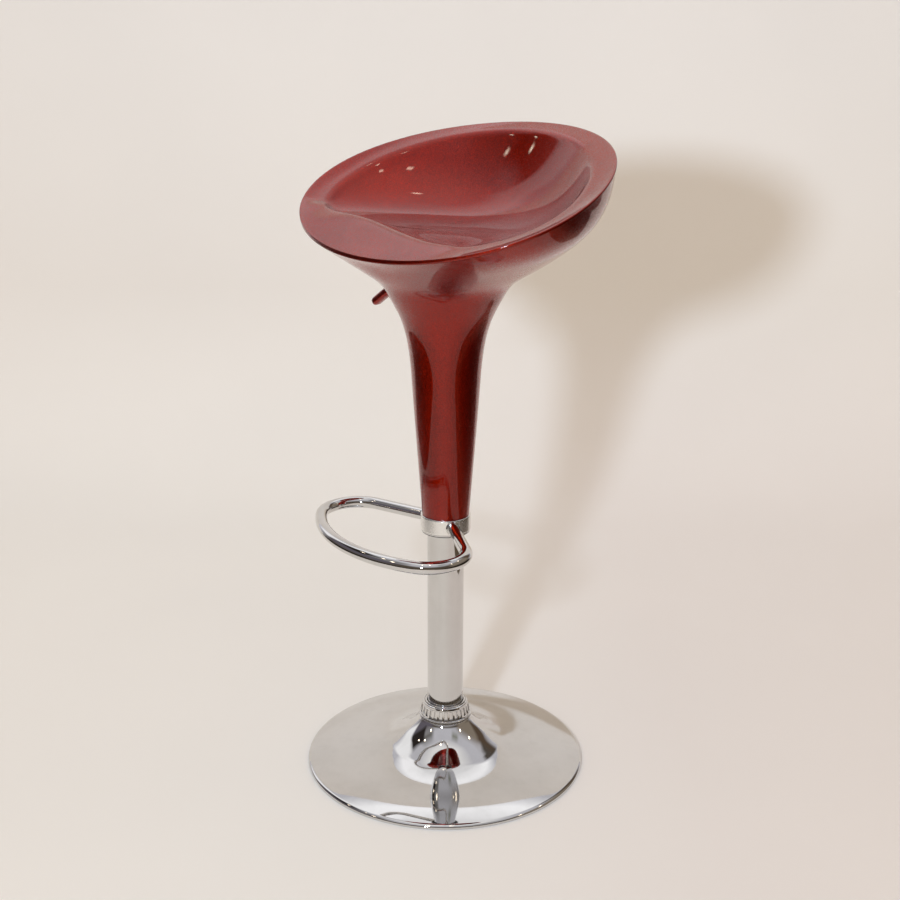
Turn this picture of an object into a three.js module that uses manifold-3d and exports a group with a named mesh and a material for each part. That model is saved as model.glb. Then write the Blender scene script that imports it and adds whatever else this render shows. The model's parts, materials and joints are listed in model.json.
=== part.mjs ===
// Counter stool with a weighted round base, a gas lift in a chromed column, a moulded seat
// and stem, a footrest loop and a lift lever.
// Millimetres, +Z up. The origin is on the floor under the column axis, the sitter faces -Y,
// and the lift stands fully extended.

import * as THREE from 'three';
import { mergeVertices } from 'three/addons/utils/BufferGeometryUtils.js';
import Module from 'manifold-3d';

const wasm = await Module();
wasm.setup();

// Fits and facets
const fit = 0.3;
const overrun = 2;
const weld = 0.0005;
const degree = Math.PI / 180;
const broadSides = 44;
const roundSides = 28;
const smallSides = 12;
const hexSides = 6;
const crossingSides = 8;

// Floor pad and ballast
const padInset = 1;
const padThickness = 2;
const ballastClear = 6.8;
const ballastEdge = 3;
const ballastMiddle = 8.4;
const ballastSeat = 4;
const ballastHoleRadius = 20;
const ballastPocketRadius = 50;

// Base shell
const baseRadius = 195;
const baseEdgeTop = 6.2;
const baseEdgeRadius = 2.4;
const baseFloorGap = 0.6;
const baseSheet = 1.2;
const discInnerRadius = 110;
const discInnerHeight = 19;
const discCrown = 1.2;
const bellKneeRadius = 82;
const bellKneeHeight = 26.8;
const bellKneeSlope = 27;
const bellNeckRadius = 36;
const bellNeckHeight = 61;
const bellNeckSlope = 52;
const bellTop = 64;
const bellRiseShare = 0.35;
const bellFallShare = 0.45;
const bellFlareShare = 0.3;
const bellFootShare = 0.5;

// Hub sleeve and its bolts
const hubWall = 4.6;
const hubFlangeRadius = 45;
const hubFlangeThickness = 3;
const hubBoltCount = 4;
const hubBoltRadius = 3;
const hubBoltCircle = 37.5;
const hubBoltHeadRadius = 5;
const hubBoltHeadHeight = 4;

// Trim ring
const ringFlangeRadius = 37;
const ringFlangeHeight = 4.4;
const ringBandFootRadius = 35;
const ringBandTopRadius = 31.4;
const ringBandTop = 84;
const ringTop = 87;
const ringTopRadius = 30.5;
const windowCount = 28;
const windowWidth = 4.6;
const windowHeight = 11;
const windowDepth = 2;

// Column
const columnRadius = 25;
const columnWall = 2;
const columnTop = 410;
const columnFloor = 2.5;
const columnBushHeight = 60;
const columnBushLip = 3;

// Swivel bearing
const rodEndRadius = 4;
const washerRadius = 15;
const washerThickness = 2;
const ballRadius = 2.5;
const ballCircle = 9.5;
const ballCount = 8;
const cageThickness = 2;
const clipRadius = 8;
const clipThickness = 1.2;
const clipGroove = 1;
const rodTail = 1.4;

// Piston rod and what it carries
const rodRadius = 5;
const rodShoulderTop = 335;
const rodTopRadius = 3;
const pistonHeight = 8;
const nutHeight = 5;
const nutRadius = 5.5;
const bufferRadius = 14;
const bufferHeight = 20;

// Gas cylinder
const cylinderRadius = 14;
const cylinderWall = 1.8;
const cylinderBottom = 300;
const cylinderTop = 692;
const cylinderCap = 5;
const taperBottom = 645;
const taperTopRadius = 13.3;
const glandHeight = 15;
const glandInset = 1;
const pinRadius = 2.5;
const pinDepth = 6;
const liftStroke = 215;

// Seat plate, socket and bolts
const plateBottom = 688;
const plateThickness = 3;
const plateRadius = 70;
const socketRadius = 19;
const socketLength = 44;
const socketStand = 3;
const plateBoltCircle = 50;
const plateBoltCount = 4;
const plateBoltRadius = 3;
const plateBoltHeadRadius = 5;
const plateBoltHeadHeight = 4;
const plateBoltGrip = 21;
const bossRadius = 8;

// Carrier tube, collar and glide bush
const carrierRadius = 29.3;
const carrierWall = 2;
const collarRadius = 34;
const collarBottom = 346;
const collarHeight = 21;
const collarScrewRadius = 2.7;
const collarScrewCount = 2;
const collarScrewSpread = 60;
const glideLip = 2.7;
const glideLipRadius = 32.8;
const glideHeight = 40;

// Footrest loop
const loopTubeRadius = 8.3;
const loopTubeWall = 1.5;
const loopHalfWidth = 137;
const loopReach = 162;
const loopFrontRadius = 211;
const loopCornerRadius = 49;
const loopArmSide = 24;
const loopArmForward = 6.4;
const loopTurn = -13;
const loopSteps = 38;
const loopSides = 12;
const loopBoreSides = 8;

// Stem
const stemFootRadius = 32;
const stemWall = 2.4;
const stemKneeRadius = 43.6;
const stemKneeHeight = 560;
const throatRadius = 83;
const throatHeight = 682;
const throatSteepness = 65;
const kneeHandleShare = 0.64;
const throatHandleShare = 0.36;
const kneeFlare = 6.5;

// Shelf inside the throat, on which the seat plate lies
const shelfBore = 60;
const shelfHeight = 8;
const shelfStemRow = 4;
const shelfBowlRows = 2;

// Seat rim, an egg in a plane that rises to the back
const rimHalfWidth = 227;
const rimHalfDepth = 179;
const rimCentreBack = 23;
const rimRise = 127;
const rimTilt = 24;
const rimTaperShare = 0.13;
const rimArch = 13.4;
const rimSkirt = 4.6;
const rimSetBack = 1;
const rimFlange = 8.5;

// Bowl under the seat
const shellWall = 3;
const bowlLeaveFront = 34;
const bowlLeaveBack = 29;
const bowlMeetFront = 18;
const bowlMeetBack = 103;
const bowlLowHandleShare = 0.58;
const bowlHighHandleShare = 0.33;
const outerRows = 6;
const innerRows = 3;

// Basin of the seat
const panWall = 4;
const basinCentreBack = 4;
const basinDepth = 61;
const bandWidthBack = 24;
const bandWidthSide = 36;
const bandDipBack = 3;
const bandDipSide = 9.5;
const cornerDip = 4;
const lipRidgeBack = -97;
const lipRidgeTurn = -11;
const lipRidgeBow = 12;
const lipStand = 1.5;
const ridgeBlend = 14;
const wallSteepBack = 66;
const wallSteepSide = 58;
const wallSteepFront = 30;
const wallHandleShare = 0.75;
const floorHandleSideShare = 0.55;
const floorHandleBackShare = 0.5;
const bandMiddleShare = 0.35;
const bandMiddleDipShare = 0.5;
const bandInnerShare = 0.8;
const bandInnerDipShare = 0.85;
const panRows = 9;

// Lever
const leverRodRadius = 3;
const leverRise = 13;
const leverPivotOut = 34;
const leverBendOut = 42;
const leverSlope = 36;
const leverEndOut = 3.2;
const leverHubRadius = 6;
const leverHubWidth = 8;
const pivotPinRadius = 2.5;
const gripStartOut = 92;
const gripEndOut = 134;
const gripWidth = 16;
const gripThickness = 12;
const gripNeckShare = 0.7;
const gripSpreadShare = 0.35;
const gripSocketShare = 0.6;
const gripSides = 10;
const leverTravel = 5;
const slotWidth = 13;
const slotBelow = 5;
const slotAbove = 10;
const notchWidth = 11;
const notchDepth = 18;
const bracketLength = 17;
const bracketSheet = 2.5;

// Materials
const finish = (color, roughness, metalness) =>
  new THREE.MeshStandardMaterial({ color, roughness, metalness });
const redGloss = finish(0x5e0c0c, 0.12, 0.35);
const chrome = finish(0xd9dadb, 0.08, 1);
const steel = finish(0x9a9ca0, 0.35, 1);
const castIron = finish(0x3a3b3d, 0.7, 0.8);
const rubber = finish(0x18181a, 0.9, 0);
const nylon = finish(0x222224, 0.5, 0);

// Solids: a closed geometry becomes a solid that can be cut and joined, and back
function toSolid(geometry) {
  const plain = geometry.clone();
  plain.deleteAttribute('normal');
  plain.deleteAttribute('uv');
  const merged = mergeVertices(plain, weld);
  const places = merged.getAttribute('position').array;
  const corners = merged.getIndex().array;
  const faces = [];
  let volume = 0;
  const a = new THREE.Vector3();
  const b = new THREE.Vector3();
  const c = new THREE.Vector3();
  for (let i = 0; i < corners.length; i += 3) {
    const [p, q, r] = [corners[i], corners[i + 1], corners[i + 2]];
    if (p === q || q === r || r === p) continue;
    faces.push(p, q, r);
    volume += a.fromArray(places, 3 * p).dot(
      b.fromArray(places, 3 * q).cross(c.fromArray(places, 3 * r)));
  }
  if (volume < 0) faces.reverse();
  return new wasm.Manifold(new wasm.Mesh({
    numProp: 3,
    vertProperties: Float32Array.from(places),
    triVerts: Uint32Array.from(faces),
  }));
}

function toGeometry(solid) {
  const mesh = solid.getMesh();
  const geometry = new THREE.BufferGeometry();
  geometry.setAttribute('position', new THREE.BufferAttribute(mesh.vertProperties, 3));
  geometry.setIndex(new THREE.BufferAttribute(mesh.triVerts, 1));
  geometry.computeVertexNormals();
  return geometry;
}

const join = (first, ...rest) => rest.reduce((whole, piece) => whole.add(piece), first);
const cut = (first, ...rest) => rest.reduce((whole, piece) => whole.subtract(piece), first);

// Shapes. A profile is a list of [radius, height] pairs, revolved about the Z axis.
function revolved(profile, sides, closed = true) {
  const points = profile.map(([radius, height]) => new THREE.Vector2(radius, height));
  if (closed) points.push(points[0].clone());
  return toSolid(new THREE.LatheGeometry(points, sides).rotateX(Math.PI / 2));
}

function annulus(inner, outer, bottom, top, sides) {
  return revolved([[inner, bottom], [outer, bottom], [outer, top], [inner, top]], sides);
}

function disc(radius, bottom, top, sides) {
  return revolved([[0, bottom], [radius, bottom], [radius, top], [0, top]], sides, false);
}

function block(width, depth, height, x, y, z) {
  return toSolid(new THREE.BoxGeometry(width, depth, height).translate(x, y, z));
}

// A round bar along X or Y, centred on a place
function crossBar(radius, length, axis, x, y, z, sides) {
  const bar = new THREE.CylinderGeometry(radius, radius, length, sides);
  if (axis === 'x') bar.rotateZ(Math.PI / 2);
  return toSolid(bar.translate(x, y, z));
}

function aroundAxis(solid, angle) {
  return solid.rotate([0, 0, angle / degree]);
}

function circleAngles(count, start = 0) {
  return Array.from({ length: count }, (_, i) => start + (2 * Math.PI * i) / count);
}

// A path's corners rounded by arcs, as points
function roundedCorner(before, corner, after, radius, steps) {
  const toBefore = new THREE.Vector2().subVectors(before, corner).normalize();
  const toAfter = new THREE.Vector2().subVectors(after, corner).normalize();
  const half = Math.acos(THREE.MathUtils.clamp(toBefore.dot(toAfter), -1, 1)) / 2;
  const back = radius / Math.tan(half);
  const middle = toBefore.clone().add(toAfter).normalize().multiplyScalar(radius / Math.sin(half));
  const centre = corner.clone().add(middle);
  const start = corner.clone().addScaledVector(toBefore, back).sub(centre);
  const end = corner.clone().addScaledVector(toAfter, back).sub(centre);
  const sweep = Math.atan2(start.cross(end), start.dot(end));
  return Array.from({ length: steps + 1 }, (_, i) =>
    start.clone().rotateAround(new THREE.Vector2(), (sweep * i) / steps).add(centre));
}

// A cubic curve in the plane of a section, as [radius, height] pairs
function sectionCurve(from, fromHandle, toHandle, to, steps) {
  const curve = new THREE.CubicBezierCurve(from, fromHandle, toHandle, to);
  return curve.getPoints(steps).map((point) => [point.x, point.y]);
}

const polar = (length, angle) =>
  new THREE.Vector2(length * Math.cos(angle), length * Math.sin(angle));
const mix = THREE.MathUtils.lerp;

// The object's nodes
const stool = new THREE.Group();

function add(name, solid, material, parent = stool) {
  const mesh = new THREE.Mesh(toGeometry(solid), material);
  mesh.name = name;
  parent.add(mesh);
  return mesh;
}

// Base
const ballastBottom = padThickness;
const ballastRadius = baseRadius - baseSheet - ballastClear;
const padRadius = ballastRadius - padInset;
const seatLevel = ballastBottom + ballastSeat;
const hubInner = columnRadius + fit;
const hubOuter = hubInner + hubWall;

function hubBolts(makeOne) {
  return circleAngles(hubBoltCount, Math.PI / hubBoltCount).map((angle) =>
    makeOne().translate([hubBoltCircle * Math.cos(angle), hubBoltCircle * Math.sin(angle), 0]));
}

function buildBase() {
  add('floor_pad', disc(padRadius, 0, padThickness, broadSides), rubber);

  const ballast = revolved([
    [ballastHoleRadius, ballastBottom],
    [ballastRadius, ballastBottom],
    [ballastRadius, ballastBottom + ballastEdge],
    [discInnerRadius, ballastBottom + ballastMiddle],
    [ballastPocketRadius, ballastBottom + ballastMiddle],
    [ballastPocketRadius, seatLevel],
    [ballastHoleRadius, seatLevel],
  ], roundSides);
  const boltHoles = hubBolts(() => disc(
    hubBoltRadius + fit, ballastBottom - overrun,
    seatLevel + hubFlangeThickness + overrun, crossingSides));
  add('ballast_plate', cut(ballast, ...boltHoles), castIron);

  const sleeve = revolved([
    [hubInner, seatLevel],
    [hubFlangeRadius, seatLevel],
    [hubFlangeRadius, seatLevel + hubFlangeThickness],
    [hubOuter, seatLevel + hubFlangeThickness],
    [hubOuter, bellTop - baseSheet - fit],
    [hubInner, bellTop - baseSheet - fit],
  ], roundSides);
  add('hub_sleeve', cut(sleeve, ...boltHoles), steel);

  const headBottom = seatLevel + hubFlangeThickness;
  hubBolts(() => join(
    disc(hubBoltHeadRadius, headBottom, headBottom + hubBoltHeadHeight, hexSides),
    disc(hubBoltRadius, ballastBottom + fit, headBottom + hubBoltHeadHeight / 2, crossingSides),
  )).forEach((bolt, i) => add(`hub_bolt_${i + 1}`, bolt, steel));

  add('base_shell', baseShell(), chrome);
  add('trim_ring', trimRing(), chrome);
}

// The chromed cover: a rolled edge, a slightly crowned disc and a broad bell drawn up to a neck
function baseShell() {
  const place = (radius, height) => new THREE.Vector2(radius, height);
  const crown = place(
    mix(discInnerRadius, baseRadius, 1 / 2),
    mix(discInnerHeight, baseEdgeTop, 1 / 2) + discCrown);
  const shoulder = roundedCorner(
    place(baseRadius, baseFloorGap), place(baseRadius, baseEdgeTop), crown, baseEdgeRadius, 2);
  const downhill = (slope, length) => polar(length, -slope * degree);
  const foot = place(discInnerRadius, discInnerHeight);
  const knee = place(bellKneeRadius, bellKneeHeight);
  const neck = place(bellNeckRadius, bellNeckHeight);
  const flareWidth = discInnerRadius - bellKneeRadius;
  const flankWidth = bellKneeRadius - bellNeckRadius;
  const bell = [
    ...sectionCurve(
      foot, foot.clone().sub(crown).setLength(flareWidth * bellFootShare).add(foot),
      knee.clone().add(downhill(bellKneeSlope, flareWidth * bellFlareShare)), knee, 3),
    ...sectionCurve(
      knee, knee.clone().sub(downhill(bellKneeSlope, flankWidth * bellFallShare)),
      neck.clone().add(downhill(bellNeckSlope, flankWidth * bellRiseShare)), neck, 3).slice(1),
  ].map(([radius, height]) => place(radius, height));
  const lip = place(bellNeckRadius - (bellTop - bellNeckHeight) / 2, bellTop);
  const outer = [place(baseRadius, baseFloorGap), ...shoulder, crown, ...bell, lip];
  const inner = outer.map((point, i) => {
    const ahead = outer[Math.min(i + 1, outer.length - 1)];
    const behind = outer[Math.max(i - 1, 0)];
    const along = new THREE.Vector2().subVectors(ahead, behind).normalize();
    return point.clone().add(new THREE.Vector2(-along.y, along.x).multiplyScalar(baseSheet));
  });
  inner[0].y = baseFloorGap;
  const lipBore = columnRadius + 2 * fit;
  const loop = [
    ...outer, place(lipBore, bellTop), place(lipBore, bellTop - baseSheet),
    place(bellNeckRadius - bellTop + bellNeckHeight, bellTop - baseSheet),
    ...inner.slice(0, -1).reverse(),
  ];
  return revolved(loop.map((point) => [point.x, point.y]), broadSides);
}

// The bright ring on the bell's neck, with a row of blind windows round its band
function trimRing() {
  const bottom = bellTop + fit;
  const bandFoot = bottom + ringFlangeHeight;
  const ring = revolved([
    [columnRadius + fit, bottom],
    [ringFlangeRadius - fit, bottom],
    [ringFlangeRadius, bottom + ringFlangeHeight / 3],
    [ringFlangeRadius, bandFoot - ringFlangeHeight / 3],
    [ringBandFootRadius, bandFoot],
    [ringBandTopRadius, ringBandTop],
    [ringTopRadius, ringTop],
    [columnRadius + fit, ringTop],
  ], 2 * windowCount);
  const bandHeight = ringBandTop - bandFoot;
  const lean = Math.atan2(ringBandFootRadius - ringBandTopRadius, bandHeight);
  const middleRadius = (ringBandFootRadius + ringBandTopRadius) / 2;
  const windows = circleAngles(windowCount).map((angle) => aroundAxis(
    block(2 * windowDepth, windowWidth, windowHeight, 0, 0, 0)
      .rotate([0, -lean / degree, 0])
      .translate([middleRadius, 0, bandFoot + bandHeight / 2]), angle));
  return cut(ring, ...windows);
}

// Column with its floor, guide bush and swivel bearing
const columnInner = columnRadius - columnWall;
const bearingBottom = seatLevel + columnFloor;
const ballBottom = bearingBottom + washerThickness + fit;
const upperWasherBottom = ballBottom + 2 * ballRadius + fit;
const shoulderHeight = upperWasherBottom + washerThickness + fit;
const rodHole = rodEndRadius + fit;

function buildColumn() {
  add('column_tube', revolved([
    [rodHole, seatLevel],
    [columnRadius, seatLevel],
    [columnRadius, columnTop],
    [columnInner, columnTop],
    [columnInner, bearingBottom],
    [rodHole, bearingBottom],
  ], roundSides), chrome);
  add('column_bush', revolved([
    [cylinderRadius + fit, columnTop - columnBushHeight],
    [columnInner - fit, columnTop - columnBushHeight],
    [columnInner - fit, columnTop],
    [columnRadius - fit, columnTop],
    [columnRadius - fit, columnTop + columnBushLip],
    [cylinderRadius + fit, columnTop + columnBushLip],
  ], roundSides), nylon);
  add('lower_bearing_washer', annulus(
    rodHole, washerRadius, bearingBottom, bearingBottom + washerThickness, roundSides), steel);
}

function buildBallCage() {
  const middle = ballBottom + ballRadius;
  const ballPlaces = circleAngles(ballCount).map((angle) =>
    [ballCircle * Math.cos(angle), ballCircle * Math.sin(angle), 0]);
  const pockets = ballPlaces.map((place) => disc(
    ballRadius + fit, middle - cageThickness, middle + cageThickness, crossingSides).translate(place));
  const cage = annulus(rodHole, washerRadius - fit, middle - cageThickness / 2,
    middle + cageThickness / 2, roundSides);
  add('ball_cage', cut(cage, ...pockets), nylon);
  ballPlaces.forEach(([x, y], i) => {
    const ball = toSolid(new THREE.SphereGeometry(ballRadius, crossingSides, hexSides).rotateX(Math.PI / 2));
    add(`bearing_ball_${i + 1}`, ball.translate([x, y, middle]), steel);
  });
}

// Piston rod, held in the column's floor by its clip and turning on the bearing
const clipTop = seatLevel - fit;
const pistonBottom = rodShoulderTop + fit;
const nutBottom = pistonBottom + pistonHeight + fit;
const boreRadius = cylinderRadius - cylinderWall;

function buildRod() {
  add('piston_rod', revolved([
    [0, clipTop - clipThickness - rodTail],
    [rodEndRadius, clipTop - clipThickness - rodTail],
    [rodEndRadius, clipTop - clipThickness - fit],
    [rodEndRadius - clipGroove, clipTop - clipThickness - fit],
    [rodEndRadius - clipGroove, clipTop + fit],
    [rodEndRadius, clipTop + fit],
    [rodEndRadius, shoulderHeight],
    [rodRadius, shoulderHeight],
    [rodRadius, rodShoulderTop],
    [rodTopRadius, rodShoulderTop],
    [rodTopRadius, nutBottom + nutHeight],
    [0, nutBottom + nutHeight],
  ], smallSides, false), chrome);
  add('rod_clip', annulus(rodEndRadius - clipGroove + fit, clipRadius,
    clipTop - clipThickness, clipTop, smallSides), steel);
  add('upper_bearing_washer', annulus(
    rodHole, washerRadius, upperWasherBottom, upperWasherBottom + washerThickness,
    roundSides), steel);
  const bufferBottom = shoulderHeight + fit;
  add('rod_buffer', annulus(rodRadius + fit, bufferRadius, bufferBottom,
    bufferBottom + bufferHeight, roundSides), rubber);
  add('piston', annulus(rodTopRadius + fit, boreRadius - fit, pistonBottom,
    pistonBottom + pistonHeight, roundSides), steel);
  const nut = disc(nutRadius, nutBottom, nutBottom + nutHeight, hexSides);
  const nutHole = disc(rodTopRadius + fit, nutBottom - overrun,
    nutBottom + nutHeight + overrun, smallSides);
  add('piston_nut', cut(nut, nutHole), steel);
}

// Gas cylinder with its gland
const socketBottom = plateBottom + plateThickness + socketStand - socketLength;
const cylinderRadiusAt = (height) => (height < taperBottom ? cylinderRadius
  : mix(cylinderRadius, taperTopRadius, (height - taperBottom) / (cylinderTop - taperBottom)));

function buildCylinder() {
  add('gas_cylinder', revolved([
    [boreRadius, cylinderBottom],
    [cylinderRadius, cylinderBottom],
    [cylinderRadius, taperBottom],
    [taperTopRadius, cylinderTop],
    [pinRadius + fit, cylinderTop],
    [pinRadius + fit, cylinderTop - cylinderCap],
    [boreRadius, cylinderTop - cylinderCap],
  ], roundSides), steel);
  const glandBottom = cylinderBottom + glandInset;
  add('cylinder_gland', annulus(rodRadius + fit, boreRadius - fit, glandBottom,
    glandBottom + glandHeight, roundSides), nylon);
}

// Seat plate with the taper socket, its bolts and the lever's bracket
const plateTop = plateBottom + plateThickness;
const leverHeight = plateTop + leverRise;
const lugHeight = leverRise + leverHubRadius;
const lugInner = leverHubWidth / 2 + fit;

function plateBolts(makeOne) {
  return circleAngles(plateBoltCount, Math.PI / plateBoltCount).map((angle) =>
    makeOne().translate([plateBoltCircle * Math.cos(angle), plateBoltCircle * Math.sin(angle), 0]));
}

function buildHead() {
  add('taper_socket', revolved([
    [cylinderRadiusAt(socketBottom) + fit, socketBottom],
    [socketRadius, socketBottom],
    [socketRadius, plateTop + socketStand],
    [cylinderRadiusAt(plateTop + socketStand) + fit, plateTop + socketStand],
  ], roundSides), steel);

  const boltHoles = plateBolts(() =>
    disc(plateBoltRadius + fit, plateBottom - overrun, plateTop + overrun, crossingSides));
  const notch = block(2 * notchDepth, notchWidth, plateThickness + overrun,
    -plateRadius, 0, plateBottom + plateThickness / 2);
  const plate = annulus(socketRadius + fit, plateRadius, plateBottom, plateTop, roundSides);
  add('seat_plate', cut(plate, notch, ...boltHoles), steel);

  const headTop = plateBottom - fit;
  plateBolts(() => join(
    disc(plateBoltHeadRadius, headTop - plateBoltHeadHeight, headTop, hexSides),
    disc(plateBoltRadius, headTop - plateBoltHeadHeight / 2, plateTop + plateBoltGrip, crossingSides),
  )).forEach((bolt, i) => add(`plate_bolt_${i + 1}`, bolt, steel));

  const outerWidth = 2 * (lugInner + bracketSheet);
  const lugMiddle = plateTop + lugHeight / 2;
  const lug = (side) => block(bracketLength, bracketSheet, lugHeight,
    -leverPivotOut, side * (lugInner + bracketSheet / 2), lugMiddle);
  const bracket = join(
    block(bracketLength, outerWidth, bracketSheet, -leverPivotOut, 0, plateTop + bracketSheet / 2),
    lug(-1), lug(1));
  const pinLength = outerWidth + 2 * bracketSheet;
  add('lever_bracket', cut(bracket, crossBar(pivotPinRadius + fit, pinLength, 'y',
    -leverPivotOut, 0, leverHeight, smallSides)), steel);
  add('lever_pivot_pin', crossBar(pivotPinRadius, pinLength - bracketSheet, 'y',
    -leverPivotOut, 0, leverHeight, smallSides), steel);
}

// Tube round the column that carries the footrest, its collar and the glide bush
const collarTop = collarBottom + collarHeight;
const loopHeight = collarBottom + collarHeight / 2;
const carrierInner = carrierRadius - carrierWall;
const collarInner = carrierRadius + fit;

function buildCarrier() {
  add('carrier_tube', annulus(carrierInner, carrierRadius, collarBottom, plateBottom - fit,
    roundSides), steel);
  add('glide_bush', revolved([
    [columnRadius + fit, collarBottom - fit - glideLip],
    [glideLipRadius, collarBottom - fit - glideLip],
    [glideLipRadius, collarBottom - fit],
    [carrierInner - fit, collarBottom - fit],
    [carrierInner - fit, collarBottom + glideHeight],
    [columnRadius + fit, collarBottom + glideHeight],
  ], roundSides), nylon);

  const footrest = new THREE.Group();
  footrest.rotation.z = loopTurn * degree;
  stool.add(footrest);
  const screwAngles = Array.from({ length: collarScrewCount }, (_, i) =>
    Math.PI / 2 + collarScrewSpread * degree * (i - (collarScrewCount - 1) / 2));
  const screw = (radius, from, to) => crossBar(radius, to - from, 'x', (from + to) / 2, 0,
    loopHeight, crossingSides);
  const holes = screwAngles.map((angle) => aroundAxis(
    screw(collarScrewRadius + fit, collarInner - overrun, collarRadius + overrun), angle));
  const collar = annulus(collarInner, collarRadius, collarBottom, collarTop, roundSides);
  add('footrest_collar', cut(collar, ...holes), chrome, footrest);
  screwAngles.forEach((angle, i) => add(`collar_screw_${i + 1}`,
    aroundAxis(screw(collarScrewRadius, collarInner, collarRadius - fit), angle), steel, footrest));
  add('footrest_loop', footrestLoop(), chrome, footrest);
}

// An arc in the footrest's plane, run at a steady rate
class LevelArc extends THREE.Curve {
  constructor(centre, radius, from, to, height) {
    super();
    Object.assign(this, { centre, radius, from, to, height });
  }

  getPoint(share, target = new THREE.Vector3()) {
    const angle = mix(this.from, this.to, share);
    return target.set(this.centre.x + this.radius * Math.cos(angle),
      this.centre.y + this.radius * Math.sin(angle), this.height);
  }
}

// The bent tube: two splayed arms, two corners and a shallow front arc, in plan symmetric
// about the footrest's own front
function footrestLoop() {
  const frontCentre = new THREE.Vector2(0, loopFrontRadius - loopReach);
  const cornerX = loopHalfWidth - loopCornerRadius;
  const cornerDrop = Math.sqrt((loopFrontRadius - loopCornerRadius) ** 2 - cornerX ** 2);
  const corner = new THREE.Vector2(cornerX, frontCentre.y - cornerDrop);
  const root = new THREE.Vector2(loopArmSide, -loopArmForward);
  const toCorner = new THREE.Vector2().subVectors(corner, root);
  const reach = toCorner.length();
  const armAngle = toCorner.angle() + Math.asin(loopCornerRadius / reach);
  const armLength = Math.sqrt(reach ** 2 - loopCornerRadius ** 2);
  const armEnd = polar(armLength, armAngle).add(root);
  const armTouch = Math.atan2(armEnd.y - corner.y, armEnd.x - corner.x);
  const frontTouch = Math.atan2(corner.y - frontCentre.y, corner.x - frontCentre.x);
  const level = (point, side) => new THREE.Vector3(side * point.x, point.y, loopHeight);
  const mirrored = new THREE.Vector2(-corner.x, corner.y);

  const path = new THREE.CurvePath();
  path.add(new THREE.LineCurve3(level(root, 1), level(armEnd, 1)));
  path.add(new LevelArc(corner, loopCornerRadius, armTouch, frontTouch, loopHeight));
  path.add(new LevelArc(frontCentre, loopFrontRadius, frontTouch, -Math.PI - frontTouch, loopHeight));
  path.add(new LevelArc(mirrored, loopCornerRadius, -Math.PI - frontTouch, -Math.PI - armTouch,
    loopHeight));
  path.add(new THREE.LineCurve3(level(armEnd, -1), level(root, -1)));

  const around = (radius, sides) => circleAngles(sides).map((angle) => polar(radius, angle));
  const ring = new THREE.Shape(around(loopTubeRadius, loopSides));
  ring.holes.push(new THREE.Path(around(loopTubeRadius - loopTubeWall, loopBoreSides)));
  const tube = new THREE.ExtrudeGeometry(ring, { extrudePath: path, steps: loopSteps });
  return cut(toSolid(tube), disc(collarRadius + fit, collarBottom - overrun, collarTop + overrun,
    broadSides));
}

// Seat form. Each column of the seat's mesh is one angle round the rim.
const tilt = rimTilt * degree;
const rimCentreHeight = throatHeight + rimRise;
const basinFloorHeight = rimCentreHeight - basinDepth;

function rimHeightAt(back) {
  const along = (back - rimCentreBack) / Math.cos(tilt);
  const arch = rimArch * (0.5 - (along / rimHalfDepth) ** 2);
  return rimCentreHeight + along * Math.sin(tilt) + arch;
}

function rimPoint(angle) {
  const side = rimHalfWidth * Math.cos(angle) * (1 - rimTaperShare * Math.sin(angle));
  const back = rimCentreBack + rimHalfDepth * Math.sin(angle) * Math.cos(tilt);
  return new THREE.Vector3(side, back, rimHeightAt(back));
}

const seatColumns = circleAngles(broadSides);

// A closed mesh from one list of points for each column. The lists have one length, and
// join up round the axis. Open ends are closed by the next point of the same column, or
// by a pole that all columns share.
function closedGrid(columns, poles) {
  const rows = columns[0].length;
  const places = columns.flat().flatMap((point) => [point.x, point.y, point.z]);
  const faces = [];
  const at = (column, row) => (column % columns.length) * rows + row;
  const lastRow = poles ? rows - 1 : rows;
  for (let i = 0; i < columns.length; i += 1) {
    for (let j = 0; j < lastRow; j += 1) {
      const up = (j + 1) % rows;
      faces.push(at(i, j), at(i + 1, j), at(i + 1, up), at(i, j), at(i + 1, up), at(i, up));
    }
  }
  const geometry = new THREE.BufferGeometry();
  geometry.setAttribute('position', new THREE.Float32BufferAttribute(places, 3));
  geometry.setIndex(faces);
  return toSolid(geometry);
}

// The stem's flare, from its foot through the knee to the throat under the bowl
function stemSection(inset, foot, steps) {
  const knee = new THREE.Vector2(stemKneeRadius - inset, stemKneeHeight);
  const steep = throatSteepness * degree;
  const throat = new THREE.Vector2(throatRadius - inset * Math.sin(steep),
    throatHeight + inset * Math.cos(steep));
  const length = knee.distanceTo(throat);
  const kneeHandle = knee.clone().add(
    polar(kneeHandleShare * length, Math.PI / 2 - kneeFlare * degree));
  const throatHandle = throat.clone().sub(polar(throatHandleShare * length, steep));
  return {
    throat,
    points: [[stemFootRadius - inset, foot], ...sectionCurve(knee, kneeHandle, throatHandle, throat, steps)],
  };
}

// The bowl's section at one column, from the throat out to the edge under the rim
function bowlSection(angle, throat, setBack, steps) {
  const rim = rimPoint(angle);
  const bearing = Math.atan2(rim.y, rim.x);
  const reach = Math.hypot(rim.x, rim.y) - setBack;
  const edge = new THREE.Vector2(reach, rim.z - edgeDrop);
  const backness = Math.sqrt((1 + Math.sin(angle)) / 2);
  const leave = mix(bowlLeaveFront, bowlLeaveBack, backness) * degree;
  const meet = mix(bowlMeetFront, bowlMeetBack, backness) * degree;
  const chord = throat.distanceTo(edge);
  const low = throat.clone().add(polar(bowlLowHandleShare * chord, leave));
  const high = edge.clone().sub(polar(bowlHighHandleShare * chord, meet));
  return { bearing, points: sectionCurve(throat, low, high, edge, steps).slice(1) };
}

const edgeDrop = rimSkirt + fit;

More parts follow.
